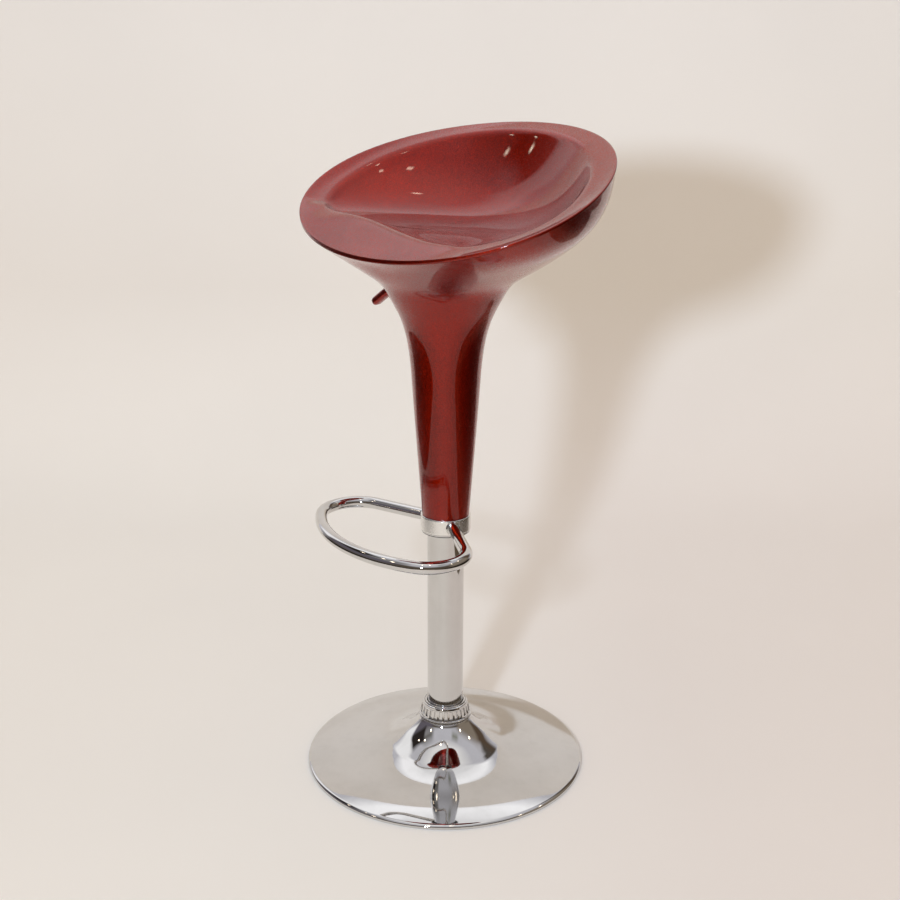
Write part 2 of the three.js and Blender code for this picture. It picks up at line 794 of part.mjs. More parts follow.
function edgeWall(angle) {
  const backness = Math.sqrt((1 + Math.sin(angle)) / 2);
  const meet = mix(bowlMeetFront, bowlMeetBack, backness) * degree;
  return Math.min(shellWall / Math.sin(Math.min(meet, Math.PI / 2)), rimFlange - rimSetBack);
}

function stemShell() {
  const foot = collarTop + fit;
  const outerStem = stemSection(0, foot, outerRows);
  const innerStem = stemSection(stemWall, foot, innerRows);
  const columns = seatColumns.map((angle) => {
    const outer = bowlSection(angle, outerStem.throat, rimSetBack, outerRows);
    const inner = bowlSection(angle, innerStem.throat, rimSetBack + edgeWall(angle), innerRows);
    const section = [
      ...outerStem.points, ...outer.points, ...inner.points.reverse(),
      ...[...innerStem.points].reverse(),
    ];
    return section.map(([radius, height]) => new THREE.Vector3(
      radius * Math.cos(outer.bearing), radius * Math.sin(outer.bearing), height));
  });
  const shell = closedGrid(columns, false);
  const core = closedGrid(seatColumns.map((angle) => {
    const outer = bowlSection(angle, outerStem.throat, rimSetBack, outerRows);
    const section = [
      ...outerStem.points.slice(shelfStemRow), ...outer.points.slice(0, shelfBowlRows),
    ];
    return [
      new THREE.Vector3(0, 0, section[0][1]),
      ...section.map(([radius, height]) => new THREE.Vector3(
        (radius - stemWall / 2) * Math.cos(outer.bearing),
        (radius - stemWall / 2) * Math.sin(outer.bearing), height)),
      new THREE.Vector3(0, 0, section[section.length - 1][1]),
    ];
  }), true);
  const shelf = annulus(shelfBore, throatRadius + shelfHeight, plateBottom - shelfHeight - fit,
    plateBottom - fit, broadSides);
  return cut(join(shell, shelf.intersect(core)), leverSlot());
}

// The slot for the lever: a slanted window with room for the lever's travel
function leverSlot() {
  const slotLength = 2 * (throatRadius - shelfBore + overrun) / Math.cos(leverSlope * degree);
  const slot = block(slotLength, slotWidth, slotBelow + slotAbove,
    0, 0, (slotAbove - slotBelow) / 2);
  const middle = leverPlace(throatRadius - overrun);
  return slot.rotate([0, -leverSlope, 0]).translate([middle.x, 0, middle.z]);
}

// Basin: at each column the section runs from the rim over its band, down the wall and
// along the floor to the basin's centre

function ridgeDistance(sideways, heading) {
  const slope = heading - sideways * Math.tan(lipRidgeTurn * degree);
  if (slope >= 0) return Infinity;
  const straight = (lipRidgeBack - basinCentreBack) / slope;
  const bow = lipRidgeBow * Math.max(0, 1 - (sideways * straight / rimHalfWidth) ** 2);
  return straight + bow / slope;
}

function basinSection(angle) {
  const rim = rimPoint(angle);
  const offset = new THREE.Vector2(rim.x, rim.y - basinCentreBack);
  const reach = offset.length();
  const heading = offset.y / reach;
  const heightAt = (radius) => rimHeightAt(basinCentreBack + heading * radius);
  const back = Math.max(0, Math.sin(angle));
  const sideBand = reach - mix(bandWidthSide, bandWidthBack, back);
  const ridgeLine = ridgeDistance(offset.x / reach, heading);
  const apart = ridgeLine - sideBand;
  const blend = Math.max(0, ridgeBlend - Math.abs(apart));
  const inner = Math.min(sideBand, ridgeLine) - blend ** 2 / (4 * ridgeBlend);
  const front = THREE.MathUtils.smoothstep(-apart, -ridgeBlend, 3 * ridgeBlend);
  const corner = Math.max(0, 1 - Math.abs(apart) / (3 * ridgeBlend));
  const bandDip = mix(bandDipSide, bandDipBack, back);
  const dip = mix(mix(bandDip, -lipStand, front), cornerDip, corner);
  const steep = mix(mix(wallSteepSide, wallSteepBack, back), wallSteepFront, front) * degree;
  const start = new THREE.Vector2(inner, heightAt(inner) - dip);
  const fall = start.y - basinFloorHeight;
  const wallHandle = start.clone().sub(polar(wallHandleShare * fall / Math.sin(steep), steep));
  const floorShare = mix(floorHandleSideShare, floorHandleBackShare, back);
  const floorHandle = new THREE.Vector2(floorShare * inner, basinFloorHeight);
  const bandPoint = (share, dipShare) => {
    const radius = mix(reach, inner, share);
    return [radius, heightAt(radius) - dipShare * dip];
  };
  return {
    rim, reach, heading, offset,
    band: [[reach, rim.z], bandPoint(bandMiddleShare, bandMiddleDipShare),
      bandPoint(bandInnerShare, bandInnerDipShare)],
    wall: sectionCurve(start, wallHandle, floorHandle,
      new THREE.Vector2(0, basinFloorHeight), panRows),
  };
}

function seatPan() {
  const columns = seatColumns.map((angle) => {
    const { rim, reach, offset, band, wall } = basinSection(angle);
    const top = [...band, ...wall];
    const under = top.map(([radius, height], i) => {
      const ahead = top[Math.min(i + 1, top.length - 1)];
      const behind = top[Math.max(i - 1, 0)];
      const along = new THREE.Vector2(ahead[0] - behind[0], ahead[1] - behind[1]).normalize();
      return [radius - along.y * panWall, height + along.x * panWall];
    });
    const hidden = under.filter(([radius], i) => radius < reach - rimFlange - fit && i > 1);
    const padded = [...Array(under.length - 2 - hidden.length).fill(hidden[0]), ...hidden];
    padded[padded.length - 1] = [0, basinFloorHeight - panWall];
    const section = [
      ...[...top].reverse(),
      [reach - fit, rim.z - rimSkirt], [reach - rimFlange, rim.z - rimSkirt],
      ...padded,
    ];
    const toPlace = ([radius, height]) => new THREE.Vector3(
      (offset.x / reach) * radius, basinCentreBack + (offset.y / reach) * radius, height);
    return section.map(toPlace);
  });
  const dish = closedGrid(columns, true);
  const underFloor = closedGrid(seatColumns.map((angle) => {
    const { offset, reach, wall } = basinSection(angle);
    const floor = wall.slice(panRows / 2).map(([radius, height]) => [radius, height - panWall / 2]);
    const section = [[0, plateTop + fit], [floor[0][0], plateTop + fit], ...floor];
    return section.map(([radius, height]) => new THREE.Vector3(
      (offset.x / reach) * radius, basinCentreBack + (offset.y / reach) * radius, height));
  }), true);
  const bosses = plateBolts(() => disc(bossRadius, plateTop, rimCentreHeight, smallSides))
    .map((boss) => boss.intersect(underFloor));
  const holes = plateBolts(() =>
    disc(plateBoltRadius + fit, plateTop - overrun, plateTop + plateBoltGrip + overrun, crossingSides));
  return cut(join(dish, ...bosses), ...holes);
}

function buildSeat() {
  add('stem_shell', stemShell(), redGloss);
  add('seat_pan', seatPan(), redGloss);
}

// Lever: over the release pin, through its hub, level to the bend and then down and out
function leverPlace(out) {
  const beyond = Math.max(0, out - leverBendOut);
  return new THREE.Vector3(-out, 0, leverHeight - beyond * Math.tan(leverSlope * degree));
}

function bar(from, to, radius, sides) {
  const along = new THREE.Vector3().subVectors(to, from);
  const geometry = new THREE.CylinderGeometry(radius, radius, along.length(), sides);
  geometry.applyQuaternion(new THREE.Quaternion().setFromUnitVectors(
    new THREE.Vector3(0, 1, 0), along.clone().normalize()));
  const middle = from.clone().addScaledVector(along, 0.5);
  return toSolid(geometry.translate(middle.x, middle.y, middle.z));
}

function buildLever() {
  const rodEndOut = mix(gripStartOut, gripEndOut, gripSocketShare);
  const inner = new THREE.Vector3(leverEndOut, 0, leverHeight);
  const knee = leverPlace(leverBendOut);
  const elbow = toSolid(new THREE.SphereGeometry(leverRodRadius, smallSides, smallSides / 2)
    .translate(knee.x, knee.y, knee.z));
  const hub = crossBar(leverHubRadius, leverHubWidth, 'y', -leverPivotOut, 0, leverHeight, smallSides);
  const hubBore = crossBar(pivotPinRadius + fit, leverHubWidth + overrun, 'y',
    -leverPivotOut, 0, leverHeight, smallSides);
  const rod = join(
    bar(inner, knee, leverRodRadius, smallSides), elbow,
    bar(knee, leverPlace(rodEndOut), leverRodRadius, smallSides), hub);
  add('lever_rod', cut(rod, hubBore), steel);

  const slope = leverSlope * degree;
  const gripLength = (gripEndOut - gripStartOut) / Math.cos(slope);
  const half = gripWidth / 2;
  const outline = new THREE.Shape();
  outline.moveTo(0, -gripNeckShare * half);
  outline.lineTo(gripSpreadShare * gripLength, -half);
  outline.lineTo(gripLength - half, -half);
  outline.absarc(gripLength - half, 0, half, -Math.PI / 2, Math.PI / 2);
  outline.lineTo(gripSpreadShare * gripLength, half);
  outline.lineTo(0, gripNeckShare * half);
  outline.closePath();
  const bevel = gripThickness / 4;
  const paddle = new THREE.ExtrudeGeometry(outline, {
    depth: gripThickness - 2 * bevel, bevelEnabled: true, bevelThickness: bevel,
    bevelSize: bevel, bevelOffset: -bevel, bevelSegments: 1, curveSegments: gripSides,
  });
  paddle.translate(0, 0, -(gripThickness - 2 * bevel) / 2).rotateY(Math.PI - slope);
  const start = leverPlace(gripStartOut);
  const socket = bar(leverPlace(gripStartOut - overrun),
    leverPlace(rodEndOut + fit), leverRodRadius + fit, smallSides);
  add('lever_grip', cut(toSolid(paddle).translate([start.x, start.y, start.z]), socket), redGloss);

  add('release_pin', disc(pinRadius, cylinderTop - pinDepth, leverHeight - leverRodRadius - fit,
    smallSides), steel);
}

buildBase();
buildColumn();
buildBallCage();
buildRod();
buildCylinder();
buildHead();
buildCarrier();
buildSeat();
buildLever();

export default stool;
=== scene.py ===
"""Dresses a diner counter stool: a red lacquered seat and stem, and a chromed base, column
and footrest, in a pale studio.

Sizes are in millimetres, as in the part's source, unless a name ends in _m. The origin is on
the floor under the column and the sitter faces -Y. Each mesh is made in millimetres and
brought to metres when it is finished.
"""

import json
import logging
import math
from collections.abc import Callable, Iterable, Sequence
from dataclasses import dataclass
from enum import Enum

import bmesh
import bpy
import numpy as np
from mathutils import Matrix, Vector


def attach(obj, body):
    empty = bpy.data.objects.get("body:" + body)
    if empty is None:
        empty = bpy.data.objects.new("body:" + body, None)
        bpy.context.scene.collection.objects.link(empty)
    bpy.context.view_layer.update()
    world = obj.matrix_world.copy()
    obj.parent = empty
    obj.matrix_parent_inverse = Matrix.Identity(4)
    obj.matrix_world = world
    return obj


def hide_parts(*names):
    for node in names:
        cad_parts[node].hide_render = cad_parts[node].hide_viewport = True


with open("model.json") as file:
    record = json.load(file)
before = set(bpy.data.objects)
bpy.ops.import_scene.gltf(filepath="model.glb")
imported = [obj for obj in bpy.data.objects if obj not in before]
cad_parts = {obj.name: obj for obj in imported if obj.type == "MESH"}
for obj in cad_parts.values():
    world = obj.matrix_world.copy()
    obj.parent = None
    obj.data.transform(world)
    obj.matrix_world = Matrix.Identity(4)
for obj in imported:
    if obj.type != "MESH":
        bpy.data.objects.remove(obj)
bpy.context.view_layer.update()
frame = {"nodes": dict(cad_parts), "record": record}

LOG = logging.getLogger("stool")
MM = 0.001
FULL_TURN = 2 * math.pi
QUARTER_TURN = math.pi / 2

# Millimetres: the gap between pieces that meet, and how close two vertices are when they merge
FIT = 0.3
MERGE = 0.0005

# The most of a profile's side that a fillet takes, and a support point, and half of an angle
# that counts as straight
FILLET_ROOM = 0.48
SUPPORT_ROOM = 0.45
STRAIGHT = math.radians(89.5)

# Numbers that stand for nothing and for out of reach where a length is divided or compared
TINY = 1e-6
FAR = 1e4

# Where a colour Mix node has its share and two colours, and its result
MIX_TAKES = (0, 6, 7)
MIX_GIVES = 2

Point = tuple[float, float]
Triple = tuple[float, float, float]
Colour = Triple
Step = tuple[Vector, Vector]
Mesh = bmesh.types.BMesh
Material = bpy.types.Material
Node = bpy.types.Node
Socket = bpy.types.NodeSocket


class Slot(Enum):
    """The record's material slots."""

    RED = "seat_red"
    CHROME = "chrome"
    STEEL = "steel"
    IRON = "cast_iron"
    RUBBER = "rubber"
    NYLON = "nylon"


class Body(Enum):
    """The moving bodies that pieces ride on."""

    BASE = "base"
    SEAT = "seat"
    LEVER = "lever"


class LoftEnd(Enum):
    """How the first and last ring of a loft are closed."""

    POLES = "poles"
    LOOP = "loop"


# Numbers and curves


def mix(start: float, end: float, share: float) -> float:
    """Returns the value that lies a share of the way from start to end."""
    return start + (end - start) * share


def smoothstep(value: float, low: float, high: float) -> float:
    """Returns a soft step that rises from 0 at low to 1 at high."""
    share = min(1.0, max(0.0, (value - low) / (high - low)))
    return share * share * (3 - 2 * share)


def polar(length: float, angle: float) -> Vector:
    """Returns the plane vector of a length at an angle."""
    return Vector((length * math.cos(angle), length * math.sin(angle)))


def round_angles(count: int) -> list[float]:
    """Returns evenly spread angles of a full turn."""
    return [FULL_TURN * i / count for i in range(count)]


def bezier(handles: Sequence[Vector], steps: int) -> list[Vector]:
    """Samples a cubic curve.

    Args:
        handles: the curve's start, its two handles and its end.
        steps: the number of stretches.

    Returns:
        The points, both ends included.
    """
    start, first, second, end = handles
    points = []
    for i in range(steps + 1):
        t = i / steps
        u = 1 - t
        points.append(u ** 3 * start + 3 * u * u * t * first + 3 * u * t * t * second
                      + t ** 3 * end)
    return points


def spaced(points: Sequence[Vector], count: int) -> np.ndarray:
    """Spreads points evenly along a plane line.

    Args:
        points: the line's corners.
        count: how many points to return.

    Returns:
        An array of (radius, height) rows.
    """
    line = np.array([(p[0], p[1]) for p in points])
    lengths = np.concatenate(([0.0], np.cumsum(np.hypot(*np.diff(line, axis=0).T))))
    wanted = np.linspace(0.0, lengths[-1], count)
    return np.stack([np.interp(wanted, lengths, line[:, axis]) for axis in (0, 1)], axis=1)


def softened(points: Sequence[Vector], reach_at: Callable[[np.ndarray], np.ndarray],
             step: float = 1.0) -> np.ndarray:
    """Rounds the corners of a plane line, with its two ends held.

    Args:
        points: the line's corners.
        reach_at: gives the rounding's reach for an array of (radius, height) rows.
        step: the distance between the points of the result, roughly.

    Returns:
        An array of (radius, height) rows.
    """
    line = np.array([(p[0], p[1]) for p in points])
    length = float(np.hypot(*np.diff(line, axis=0).T).sum())
    count = max(8, round(length / step))
    dense = spaced(points, count + 1)
    gap = length / count
    reaches = reach_at(dense)
    margin = min(count, int(4 * reaches.max() / gap) + 1)
    before = 2 * dense[0] - dense[margin:0:-1]
    after = 2 * dense[-1] - dense[-2:-2 - margin:-1]
    padded = np.concatenate([before, dense, after])
    offsets = np.arange(-margin, margin + 1)
    spread = np.maximum(reaches[:, None] / gap, TINY)
    weights = np.exp(-0.5 * (offsets[None, :] / spread) ** 2)
    weights /= weights.sum(axis=1, keepdims=True)
    rows = np.arange(count + 1)[:, None] + margin + offsets[None, :]
    smooth = (padded[rows] * weights[:, :, None]).sum(axis=1)
    smooth[0], smooth[-1] = dense[0], dense[-1]
    return smooth


def filleted(corners: Sequence[Triple], support: float = 1.0,
             arc_steps: int = 7) -> list[Vector]:
    """Rounds the corners of a closed profile by arcs, with support points beside each arc.

    Args:
        corners: (radius, height, fillet) of each corner.
        support: the distance of a support point from its arc's end.
        arc_steps: the number of stretches in each arc.

    Returns:
        The profile's points in order.
    """
    points: list[Vector] = []
    for i, (radius, height, fillet) in enumerate(corners):
        here = Vector((radius, height))
        before = Vector(corners[i - 1][:2]) - here
        after = Vector(corners[(i + 1) % len(corners)][:2]) - here
        half = before.angle(after) / 2
        if fillet <= 0 or half > STRAIGHT:
            points.append(here)
            continue
        back = fillet / math.tan(half)
        room = FILLET_ROOM * min(before.length, after.length)
        if back > room:
            back, fillet = room, room * math.tan(half)
        most_before, most_after = (SUPPORT_ROOM * side.length for side in (before, after))
        before.normalize()
        after.normalize()
        centre = here + (before + after).normalized() * (fillet / math.sin(half))
        start = here + before * back - centre
        sweep = start.angle_signed(here + after * back - centre)
        lead = here + before * (back + support)
        trail = here + after * (back + support)
        if (lead - here).length < most_before:
            points.append(lead)
        points.extend(centre + Matrix.Rotation(-sweep * j / arc_steps, 2) @ start
                      for j in range(arc_steps + 1))
        if (trail - here).length < most_after:
            points.append(trail)
    return points


def straight_run(start: Vector, end: Vector, spacing: float) -> list[Step]:
    """Walks along a straight line in plan.

    Args:
        start: where it starts.
        end: where it ends.
        spacing: the distance between two points, roughly.

    Returns:
        Each point but the last, with the direction there.
    """
    count = max(2, round((end - start).length / spacing))
    direction = (end - start).normalized()
    return [(start.lerp(end, i / count), direction) for i in range(count)]


def arc_run(centre: Vector, radius: float, start: float, end: float,
            spacing: float) -> list[Step]:
    """Walks clockwise along an arc in plan.

    Args:
        centre: the arc's centre.
        radius: its radius.
        start: the angle where it starts.
        end: the angle where it ends.
        spacing: the distance between two points, roughly.

    Returns:
        Each point but the last, with the direction there.
    """
    count = max(2, round(radius * abs(end - start) / spacing))
    angles = [mix(start, end, i / count) for i in range(count)]
    return [(centre + polar(radius, angle), polar(1, angle - QUARTER_TURN))
            for angle in angles]


# Meshes


def closed_up(mesh: Mesh) -> Mesh:
    """Merges doubles and turns every face outwards.

    Args:
        mesh: the mesh.

    Returns:
        The same mesh.
    """
    bmesh.ops.remove_doubles(mesh, verts=mesh.verts[:], dist=MERGE)
    bmesh.ops.recalc_face_normals(mesh, faces=mesh.faces[:])
    return mesh


def spun(profile: Sequence[Vector], steps: int) -> Mesh:
    """Turns a closed profile about the Z axis.

    Args:
        profile: the profile's (radius, height) points.
        steps: the number of faces round the axis.

    Returns:
        The closed mesh.
    """
    mesh = bmesh.new()
    verts = [mesh.verts.new((point[0], 0, point[1])) for point in profile]
    edges = [mesh.edges.new(pair) for pair in zip(verts, verts[1:] + verts[:1])]
    bmesh.ops.spin(mesh, geom=verts + edges, cent=(0, 0, 0), axis=(0, 0, 1),
                   angle=FULL_TURN, steps=steps, use_merge=True)
    return closed_up(mesh)


def lofted(rings: Sequence[Sequence[Vector]], end: LoftEnd) -> Mesh:
    """Draws a ring of vertices through a row of rings.

    Args:
        rings: the rings in order, each with one place for every column.
        end: whether the ends shrink to poles or join each other.

    Returns:
        The closed mesh.
    """
    mesh = bmesh.new()
    rows = list(rings)
    if end is LoftEnd.LOOP:
        rows.append(rows[0])
    else:
        first = sum(rows[0], Vector((0, 0, 0))) / len(rows[0])
        last = sum(rows[-1], Vector((0, 0, 0))) / len(rows[-1])
        rows = [[first] * len(rows[0]), *rows, [last] * len(rows[0])]
    columns = len(rows[0])
    column = mesh.verts.layers.int.new("column")
    verts = bmesh.ops.create_circle(mesh, segments=columns, radius=1)["verts"]
    verts.sort(key=lambda vert: math.atan2(vert.co.y, vert.co.x) % FULL_TURN)
    for i, vert in enumerate(verts):
        vert[column] = i
        vert.co = rows[0][i]
    edges = mesh.edges[:]
    for row in rows[1:]:
        made = bmesh.ops.extrude_edge_only(mesh, edges=edges)["geom"]
        moved = {item for item in made if isinstance(item, bmesh.types.BMVert)}
        for vert in moved:
            vert.co = row[vert[column]]
        edges = [item for item in made if isinstance(item, bmesh.types.BMEdge)
                 and moved.issuperset(item.verts)]
    return closed_up(mesh)


def as_object(mesh: Mesh, name: str) -> bpy.types.Object:
    """Makes an object of a mesh and links it to the scene.

    Args:
        mesh: the mesh, which is freed.
        name: the object's name.

    Returns:
        The object.
    """
    data = bpy.data.meshes.new(name)
    mesh.to_mesh(data)
    mesh.free()
    made = bpy.data.objects.new(name, data)
    bpy.context.scene.collection.objects.link(made)
    return made


def cut_by(mesh: Mesh, cutter: Mesh) -> Mesh:
    """Takes one closed mesh out of another.

    Args:
        mesh: the mesh that is cut, which is freed.
        cutter: the mesh that is taken out, which is freed.

    Returns:
        The cut mesh.
    """
    whole, tool = as_object(mesh, "cut_whole"), as_object(cutter, "cut_tool")
    modifier = whole.modifiers.new("cut", "BOOLEAN")
    modifier.operation = "DIFFERENCE"
    modifier.solver = "EXACT"
    modifier.object = tool
    bpy.context.view_layer.update()
    result = whole.evaluated_get(bpy.context.evaluated_depsgraph_get()).to_mesh()
    cut = bmesh.new()
    cut.from_mesh(result)
    for made in (whole, tool):
        data = made.data
        bpy.data.objects.remove(made)
        bpy.data.meshes.remove(data)
    return cut


def add_piece(mesh: Mesh, name: str, material: Material, body: Body,
              nodes: Iterable[str] = (), sharp: float = 40.0) -> None:
    """Finishes a mesh as a piece that rides on a body.

    Args:
        mesh: the piece's mesh in millimetres, which is freed.
        name: the piece's name.
        material: its finish.
        body: the body that it rides on.
        nodes: the CAD nodes that it stands for.
        sharp: the angle in degrees above which an edge stays crisp.
    """
    bmesh.ops.scale(mesh, vec=(MM, MM, MM), verts=mesh.verts)
    piece = as_object(mesh, name)
    piece.data.shade_smooth()
    piece.data.set_sharp_from_angle(angle=math.radians(sharp))
    piece.data.materials.append(material)
    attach(piece, body.value)
    if nodes:
        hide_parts(*nodes)
    LOG.info("piece %s: %d faces", name, len(piece.data.polygons))


# Shader nodes


class Sheet:
    """A node tree that is filled by short calls."""

    def __init__(self, tree: bpy.types.NodeTree) -> None:
        """Takes the tree and empties it."""
        self.tree = tree
        tree.nodes.clear()

    def put(self, value: object, socket: Socket) -> None:
        """Fills one input.

        Args:
            value: another node's output, which is linked, or the input's own value.
            socket: the input.
        """
        if isinstance(value, Socket):
            self.tree.links.new(value, socket)
        elif socket.type == "RGBA":
            socket.default_value = (*value, 1.0)
        else:
            socket.default_value = value

    def feed(self, node: Node, **values: object) -> None:
        """Fills a node's inputs.

        Args:
            node: the node.
            values: what goes to each input, by its name with _ for a space.
        """
        for name, value in values.items():
            self.put(value, node.inputs[name.replace("_", " ")])

    def add(self, kind: str, **values: object) -> Node:
        """Adds a node.

        Args:
            kind: the node's type name without its ShaderNode prefix.
            values: the node's settings, whose names start in lower case, and what goes
                to its inputs, whose names start with a capital.

        Returns:
            The node.
        """
        prefix = "" if kind.startswith("NodeGroup") else "ShaderNode"
        node = self.tree.nodes.new(prefix + kind)
        for name, value in values.items():
            if name[0].isupper():
                self.feed(node, **{name: value})
            else:
                setattr(node, name, value)
        return node

    def math(self, operation: str, *terms: object, kind: str = "Math",
             **values: object) -> Socket:
        """Adds a node that calculates.

        Args:
            operation: what it calculates.
            terms: what goes to its first inputs, in order.
            kind: Math, or VectorMath for vectors.
            values: more settings and inputs, as in add.

        Returns:
            The node's output.
        """
        node = self.add(kind, operation=operation, **values)
        for socket, term in zip(node.inputs, terms):
            self.put(term, socket)
        return node.outputs[0]

    def ranged(self, value: Socket, low: float, high: float, to_low: float = 0.0,
               to_high: float = 1.0) -> Socket:
        """Spreads a value's range over another, with its ends held.

        Args:
            value: the value.
            low: the start of its range.
            high: the end of its range.
            to_low: the result at the start.
            to_high: the result at the end.

        Returns:
            The result.
        """
        node = self.add("MapRange", clamp=True, Value=value, From_Min=low, From_Max=high,
                        To_Min=to_low, To_Max=to_high)
        return node.outputs["Result"]

    def mixed(self, share: Socket, first: object, second: object) -> Socket:
        """Mixes two colours.

        Args:
            share: the second colour's share.
            first: the first colour, or an output.
            second: the second colour, or an output.

        Returns:
            The mixed colour.
        """
        node = self.add("Mix", data_type="RGBA")
        for index, value in zip(MIX_TAKES, (share, first, second)):
            self.put(value, node.inputs[index])
        return node.outputs[MIX_GIVES]


def group_sheet(name: str, takes: dict[str, float | None], gives: dict[str, str]) -> tuple[
        Sheet, bpy.types.NodeOutputs, Node]:
    """Starts a shader node group.

    Args:
        name: the group's name.
        takes: its inputs, each with its own value, or None for a vector.
        gives: its outputs, each with its kind of socket.

    Returns:
        The group's sheet, what its inputs bring, and the node that takes its results.
    """
    tree = bpy.data.node_groups.new(name, "ShaderNodeTree")
    for port, value in takes.items():
        kind = "Vector" if value is None else "Float"
        socket = tree.interface.new_socket(port, in_out="INPUT",
                                           socket_type=f"NodeSocket{kind}")
        if value is not None:
            socket.default_value = value
    for port, kind in gives.items():
        tree.interface.new_socket(port, in_out="OUTPUT", socket_type=f"NodeSocket{kind}")
    sheet = Sheet(tree)
    return sheet, sheet.add("NodeGroupInput").outputs, sheet.add("NodeGroupOutput")


def make_flakes() -> bpy.types.NodeTree:
    """Makes the group for metal flakes in lacquer: cells that each lean their own way.

    Returns:
        The group's node tree.
    """
    sheet, takes, gives = group_sheet(
        "flakes", {"Place": None, "Cells": 1100.0, "Lean": 0.3, "Sparkle": 0.25},
        {"Normal": "Vector", "Shade": "Float"})
    cells = sheet.add("TexVoronoi", feature="F1", Vector=takes["Place"], Scale=takes["Cells"])
    chance = cells.outputs["Color"]
    aside = sheet.math("SUBTRACT", chance, (0.5, 0.5, 0.5), kind="VectorMath")
    leaned = sheet.math("SCALE", aside, kind="VectorMath", Scale=takes["Lean"])
    surface = sheet.add("NewGeometry")
    total = sheet.math("ADD", surface.outputs["Normal"], leaned, kind="VectorMath")
    tone = sheet.math("SUBTRACT", sheet.add("SeparateColor", Color=chance).outputs[0], 0.5)
    sheet.feed(gives, Normal=sheet.math("NORMALIZE", total, kind="VectorMath"),
               Shade=sheet.math("ADD", sheet.math("MULTIPLY", tone, takes["Sparkle"]), 1.0))
    return sheet.tree


def make_smudges() -> bpy.types.NodeTree:
    """Makes the group for handling marks: soft blotches and fine wiping streaks.

    Returns:
        The group's node tree.
    """
    sheet, takes, gives = group_sheet(
        "smudges", {"Place": None, "Size": 9.0, "Streak": 60.0, "Clean": 0.03, "Dull": 0.08},
        {"Roughness": "Float", "Mask": "Float"})
    blotch = sheet.add("TexNoise", Detail=5.0, Roughness=0.62, Vector=takes["Place"],
                       Scale=takes["Size"])
    wiped = sheet.add("Mapping", vector_type="POINT", Scale=(1.0, 1.0, 0.12),
                      Rotation=(0.5, 0.3, 0.0), Vector=takes["Place"])
    streak = sheet.add("TexNoise", Detail=3.0, Roughness=0.5, Vector=wiped.outputs[0],
                       Scale=takes["Streak"])
    soft = sheet.math("MULTIPLY", sheet.ranged(blotch.outputs["Fac"], 0.42, 0.7), 0.7)
    lines = sheet.math("MULTIPLY", sheet.ranged(streak.outputs["Fac"], 0.5, 0.75), 0.3)
    mask = sheet.math("ADD", soft, lines, use_clamp=True)
    span = sheet.math("SUBTRACT", takes["Dull"], takes["Clean"])
    sheet.feed(gives, Mask=mask, Roughness=sheet.math(
        "ADD", sheet.math("MULTIPLY", mask, span), takes["Clean"]))
    return sheet.tree


def make_grain() -> bpy.types.NodeTree:
    """Makes the group for surface grain: coarse and fine lumps for a height and a tone.

    Returns:
        The group's node tree.
    """
    sheet, takes, gives = group_sheet(
        "grain", {"Place": None, "Stretch": None, "Coarse": 120.0, "Fine": 900.0},
        {"Height": "Float", "Tone": "Float"})
    drawn = sheet.math("MULTIPLY", takes["Place"], takes["Stretch"], kind="VectorMath")
    coarse = sheet.add("TexNoise", Detail=4.0, Roughness=0.6, Vector=drawn,
                       Scale=takes["Coarse"]).outputs["Fac"]
    fine = sheet.add("TexNoise", Detail=2.0, Roughness=0.5, Vector=drawn,
                     Scale=takes["Fine"]).outputs["Fac"]
    sheet.feed(gives, Tone=sheet.ranged(coarse, 0.3, 0.7), Height=sheet.math(
        "ADD", sheet.math("MULTIPLY", coarse, 0.6), sheet.math("MULTIPLY", fine, 0.4)))
    return sheet.tree


def make_dust() -> bpy.types.NodeTree:
    """Makes the group for settled dust: it lies on faces that look up, in loose specks.

    Returns:
        The group's node tree.
    """
    sheet, takes, gives = group_sheet(
        "dust", {"Place": None, "Amount": 0.2, "Specks": 420.0}, {"Mask": "Float"})
    specks = sheet.add("TexNoise", Detail=4.0, Roughness=0.75, Vector=takes["Place"],
                       Scale=takes["Specks"])
    drift = sheet.add("TexNoise", Scale=14.0, Detail=3.0, Vector=takes["Place"])
    normal = sheet.add("NewGeometry").outputs["Normal"]
    upward = sheet.ranged(sheet.add("SeparateXYZ", Vector=normal).outputs["Z"], 0.5, 1.0)
    loose = sheet.math("MULTIPLY", sheet.ranged(specks.outputs["Fac"], 0.55, 0.72),
                       sheet.ranged(drift.outputs["Fac"], 0.35, 0.65))
    sheet.feed(gives, Mask=sheet.math("MULTIPLY", sheet.math("MULTIPLY", loose, upward),
                                      takes["Amount"], use_clamp=True))
    return sheet.tree


class Effects:
    """The node groups that the finishes share, each made once."""

    def __init__(self) -> None:
        """Makes the groups."""
        self.flakes = make_flakes()
        self.smudges = make_smudges()
        self.grain = make_grain()
        self.dust = make_dust()


def new_material(name: str) -> tuple[Material, Sheet, Node, Socket]:
    """Starts a material.

    Args:
        name: the material's name.

    Returns:
        The material, its sheet, its shader and the object coordinates.
    """
    material = bpy.data.materials.new(name)
    material.use_nodes = True
    sheet = Sheet(material.node_tree)
    shader = sheet.add("BsdfPrincipled")
    sheet.add("OutputMaterial", Surface=shader.outputs[0])
    return material, sheet, shader, sheet.add("TexCoord").outputs["Object"]


def use_group(sheet: Sheet, tree: bpy.types.NodeTree, place: Socket,
              **values: object) -> bpy.types.NodeOutputs:
    """Places a group in a material with its own values, and returns its outputs."""
    return sheet.add("Group", node_tree=tree, Place=place, **values).outputs


